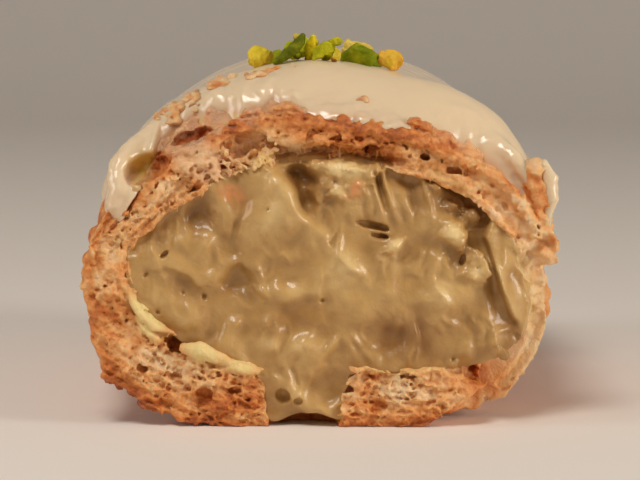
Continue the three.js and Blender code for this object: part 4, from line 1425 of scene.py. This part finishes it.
def nut_material():
    material, nodes, links, surface = new_material("pistachio_kernel")
    paint_node = nodes.new("ShaderNodeAttribute")
    paint_node.attribute_name = "nut_colour"
    grain = noise_node(nodes, links, 700.0, 4.0, 0.6)
    tint = colour_steps(nodes, [(0.3, (206, 200, 90)), (0.55, (255, 255, 240))])
    links.new(grain, tint.inputs[0])
    both = mixed(nodes, links, 0.8, paint_node.outputs["Color"], tint.outputs[0], "MULTIPLY")
    links.new(both, surface.inputs["Base Color"])
    set_sockets(surface, {
        "Roughness": 0.5,
        "Specular IOR Level": 0.15,
        "Subsurface Weight": 0.2,
        "Subsurface Radius": (0.6, 0.6, 0.2),
        "Subsurface Scale": 0.6 * MM,
    })
    fine = noise_node(nodes, links, 2400.0, 4.0, 0.7)
    add_bump(nodes, links, [(grain, 0.5, 0.4), (fine, 0.6, 0.25)], surface)
    return material


nuts, nut_middles = nut_piece()
colour_nuts(nuts, nut_middles)
nuts.data.materials.append(nut_material())
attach(nuts, "root")
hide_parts("icing")

# Floor, light and camera
# A plain pale floor that curves up behind, a soft light above and a little to the left, a low one at the
# right and a weaker one at the left, and a long lens that looks a little down on the cut face.
FLOOR_HALF = 1.5
FLOOR_FLAT_TO = 0.35
FLOOR_BEND = 0.3
FLOOR_TOP = 1.2
LIT_PLACE = (0.0, 0.0, 0.02)


def make_floor():
    floor_mesh = bmesh.new()
    profile = [(-FLOOR_HALF, 0.0), (FLOOR_FLAT_TO, 0.0)]
    for step in range(1, 13):
        turn = math.radians(90.0 * step / 12)
        reach, climb = FLOOR_BEND * math.sin(turn), FLOOR_BEND - FLOOR_BEND * math.cos(turn)
        profile.append((FLOOR_FLAT_TO + reach, climb))
    profile.append((FLOOR_FLAT_TO + FLOOR_BEND, FLOOR_TOP))
    rows = [[floor_mesh.verts.new((side * FLOOR_HALF, y, z)) for y, z in profile] for side in (-1, 1)]
    for k in range(len(profile) - 1):
        floor_mesh.faces.new((rows[0][k], rows[1][k], rows[1][k + 1], rows[0][k + 1]))
    data = bpy.data.meshes.new("floor")
    floor_mesh.to_mesh(data)
    floor_mesh.free()
    data.shade_smooth()
    floor = bpy.data.objects.new("floor", data)
    bpy.context.scene.collection.objects.link(floor)
    material, _, _, surface = new_material("pale_floor")
    set_sockets(surface, {"Base Color": from_srgb(240, 230, 220), "Roughness": 0.8})
    floor.data.materials.append(material)
    return floor


def soft_light(name, place, size, watts, colour):
    data = bpy.data.lights.new(name, "AREA")
    data.shape = "RECTANGLE"
    data.size, data.size_y = size
    data.energy = watts
    data.color = colour
    light = bpy.data.objects.new(name, data)
    light.location = place
    light.rotation_euler = (Vector(LIT_PLACE) - Vector(place)).to_track_quat("-Z", "Y").to_euler()
    bpy.context.scene.collection.objects.link(light)


make_floor()
soft_light("over", (-0.1, -0.27, 0.43), (0.16, 0.16), 1.17, (1.0, 0.96, 0.9))
soft_light("right", (0.45, -0.18, 0.13), (0.16, 0.25), 1.3, (1.0, 0.95, 0.88))
soft_light("left", (-0.46, -0.12, 0.2), (0.16, 0.25), 0.6, (1.0, 0.95, 0.9))
world = bpy.data.worlds.new("studio")
world.use_nodes = True
set_sockets(world.node_tree.nodes["Background"], {"Color": (0.9, 0.85, 0.8, 1.0), "Strength": 0.12})
bpy.context.scene.world = world
bpy.context.scene.view_settings.view_transform = "Standard"

PICTURE = (640, 480)
FOCAL_PIXELS = 2900.0
SENSOR = 36.0
CUT_MIDDLE_PIXEL = (317, 428)
CUT_DISTANCE = 290.0
PITCH = math.radians(6.9)
YAW = math.radians(-0.8)

ahead = Vector((math.sin(YAW) * math.cos(PITCH), math.cos(YAW) * math.cos(PITCH), -math.sin(PITCH)))
right = Vector((math.cos(YAW), -math.sin(YAW), 0.0))
over = right.cross(ahead)
across_mm = (CUT_MIDDLE_PIXEL[0] - PICTURE[0] / 2) * CUT_DISTANCE / FOCAL_PIXELS
down_mm = (CUT_MIDDLE_PIXEL[1] - PICTURE[1] / 2) * CUT_DISTANCE / FOCAL_PIXELS
lens_place = Vector((0.0, CUT_Y, 0.0)) - ahead * CUT_DISTANCE - right * across_mm + over * down_mm
camera_data = bpy.data.cameras.new("camera")
camera_data.sensor_width = SENSOR
camera_data.lens = FOCAL_PIXELS / PICTURE[0] * SENSOR
camera = bpy.data.objects.new("camera", camera_data)
camera.matrix_world = Matrix((
    (right.x, over.x, -ahead.x, lens_place.x * MM),
    (right.y, over.y, -ahead.y, lens_place.y * MM),
    (right.z, over.z, -ahead.z, lens_place.z * MM),
    (0.0, 0.0, 0.0, 1.0),
))
bpy.context.scene.collection.objects.link(camera)
bpy.context.scene.camera = camera
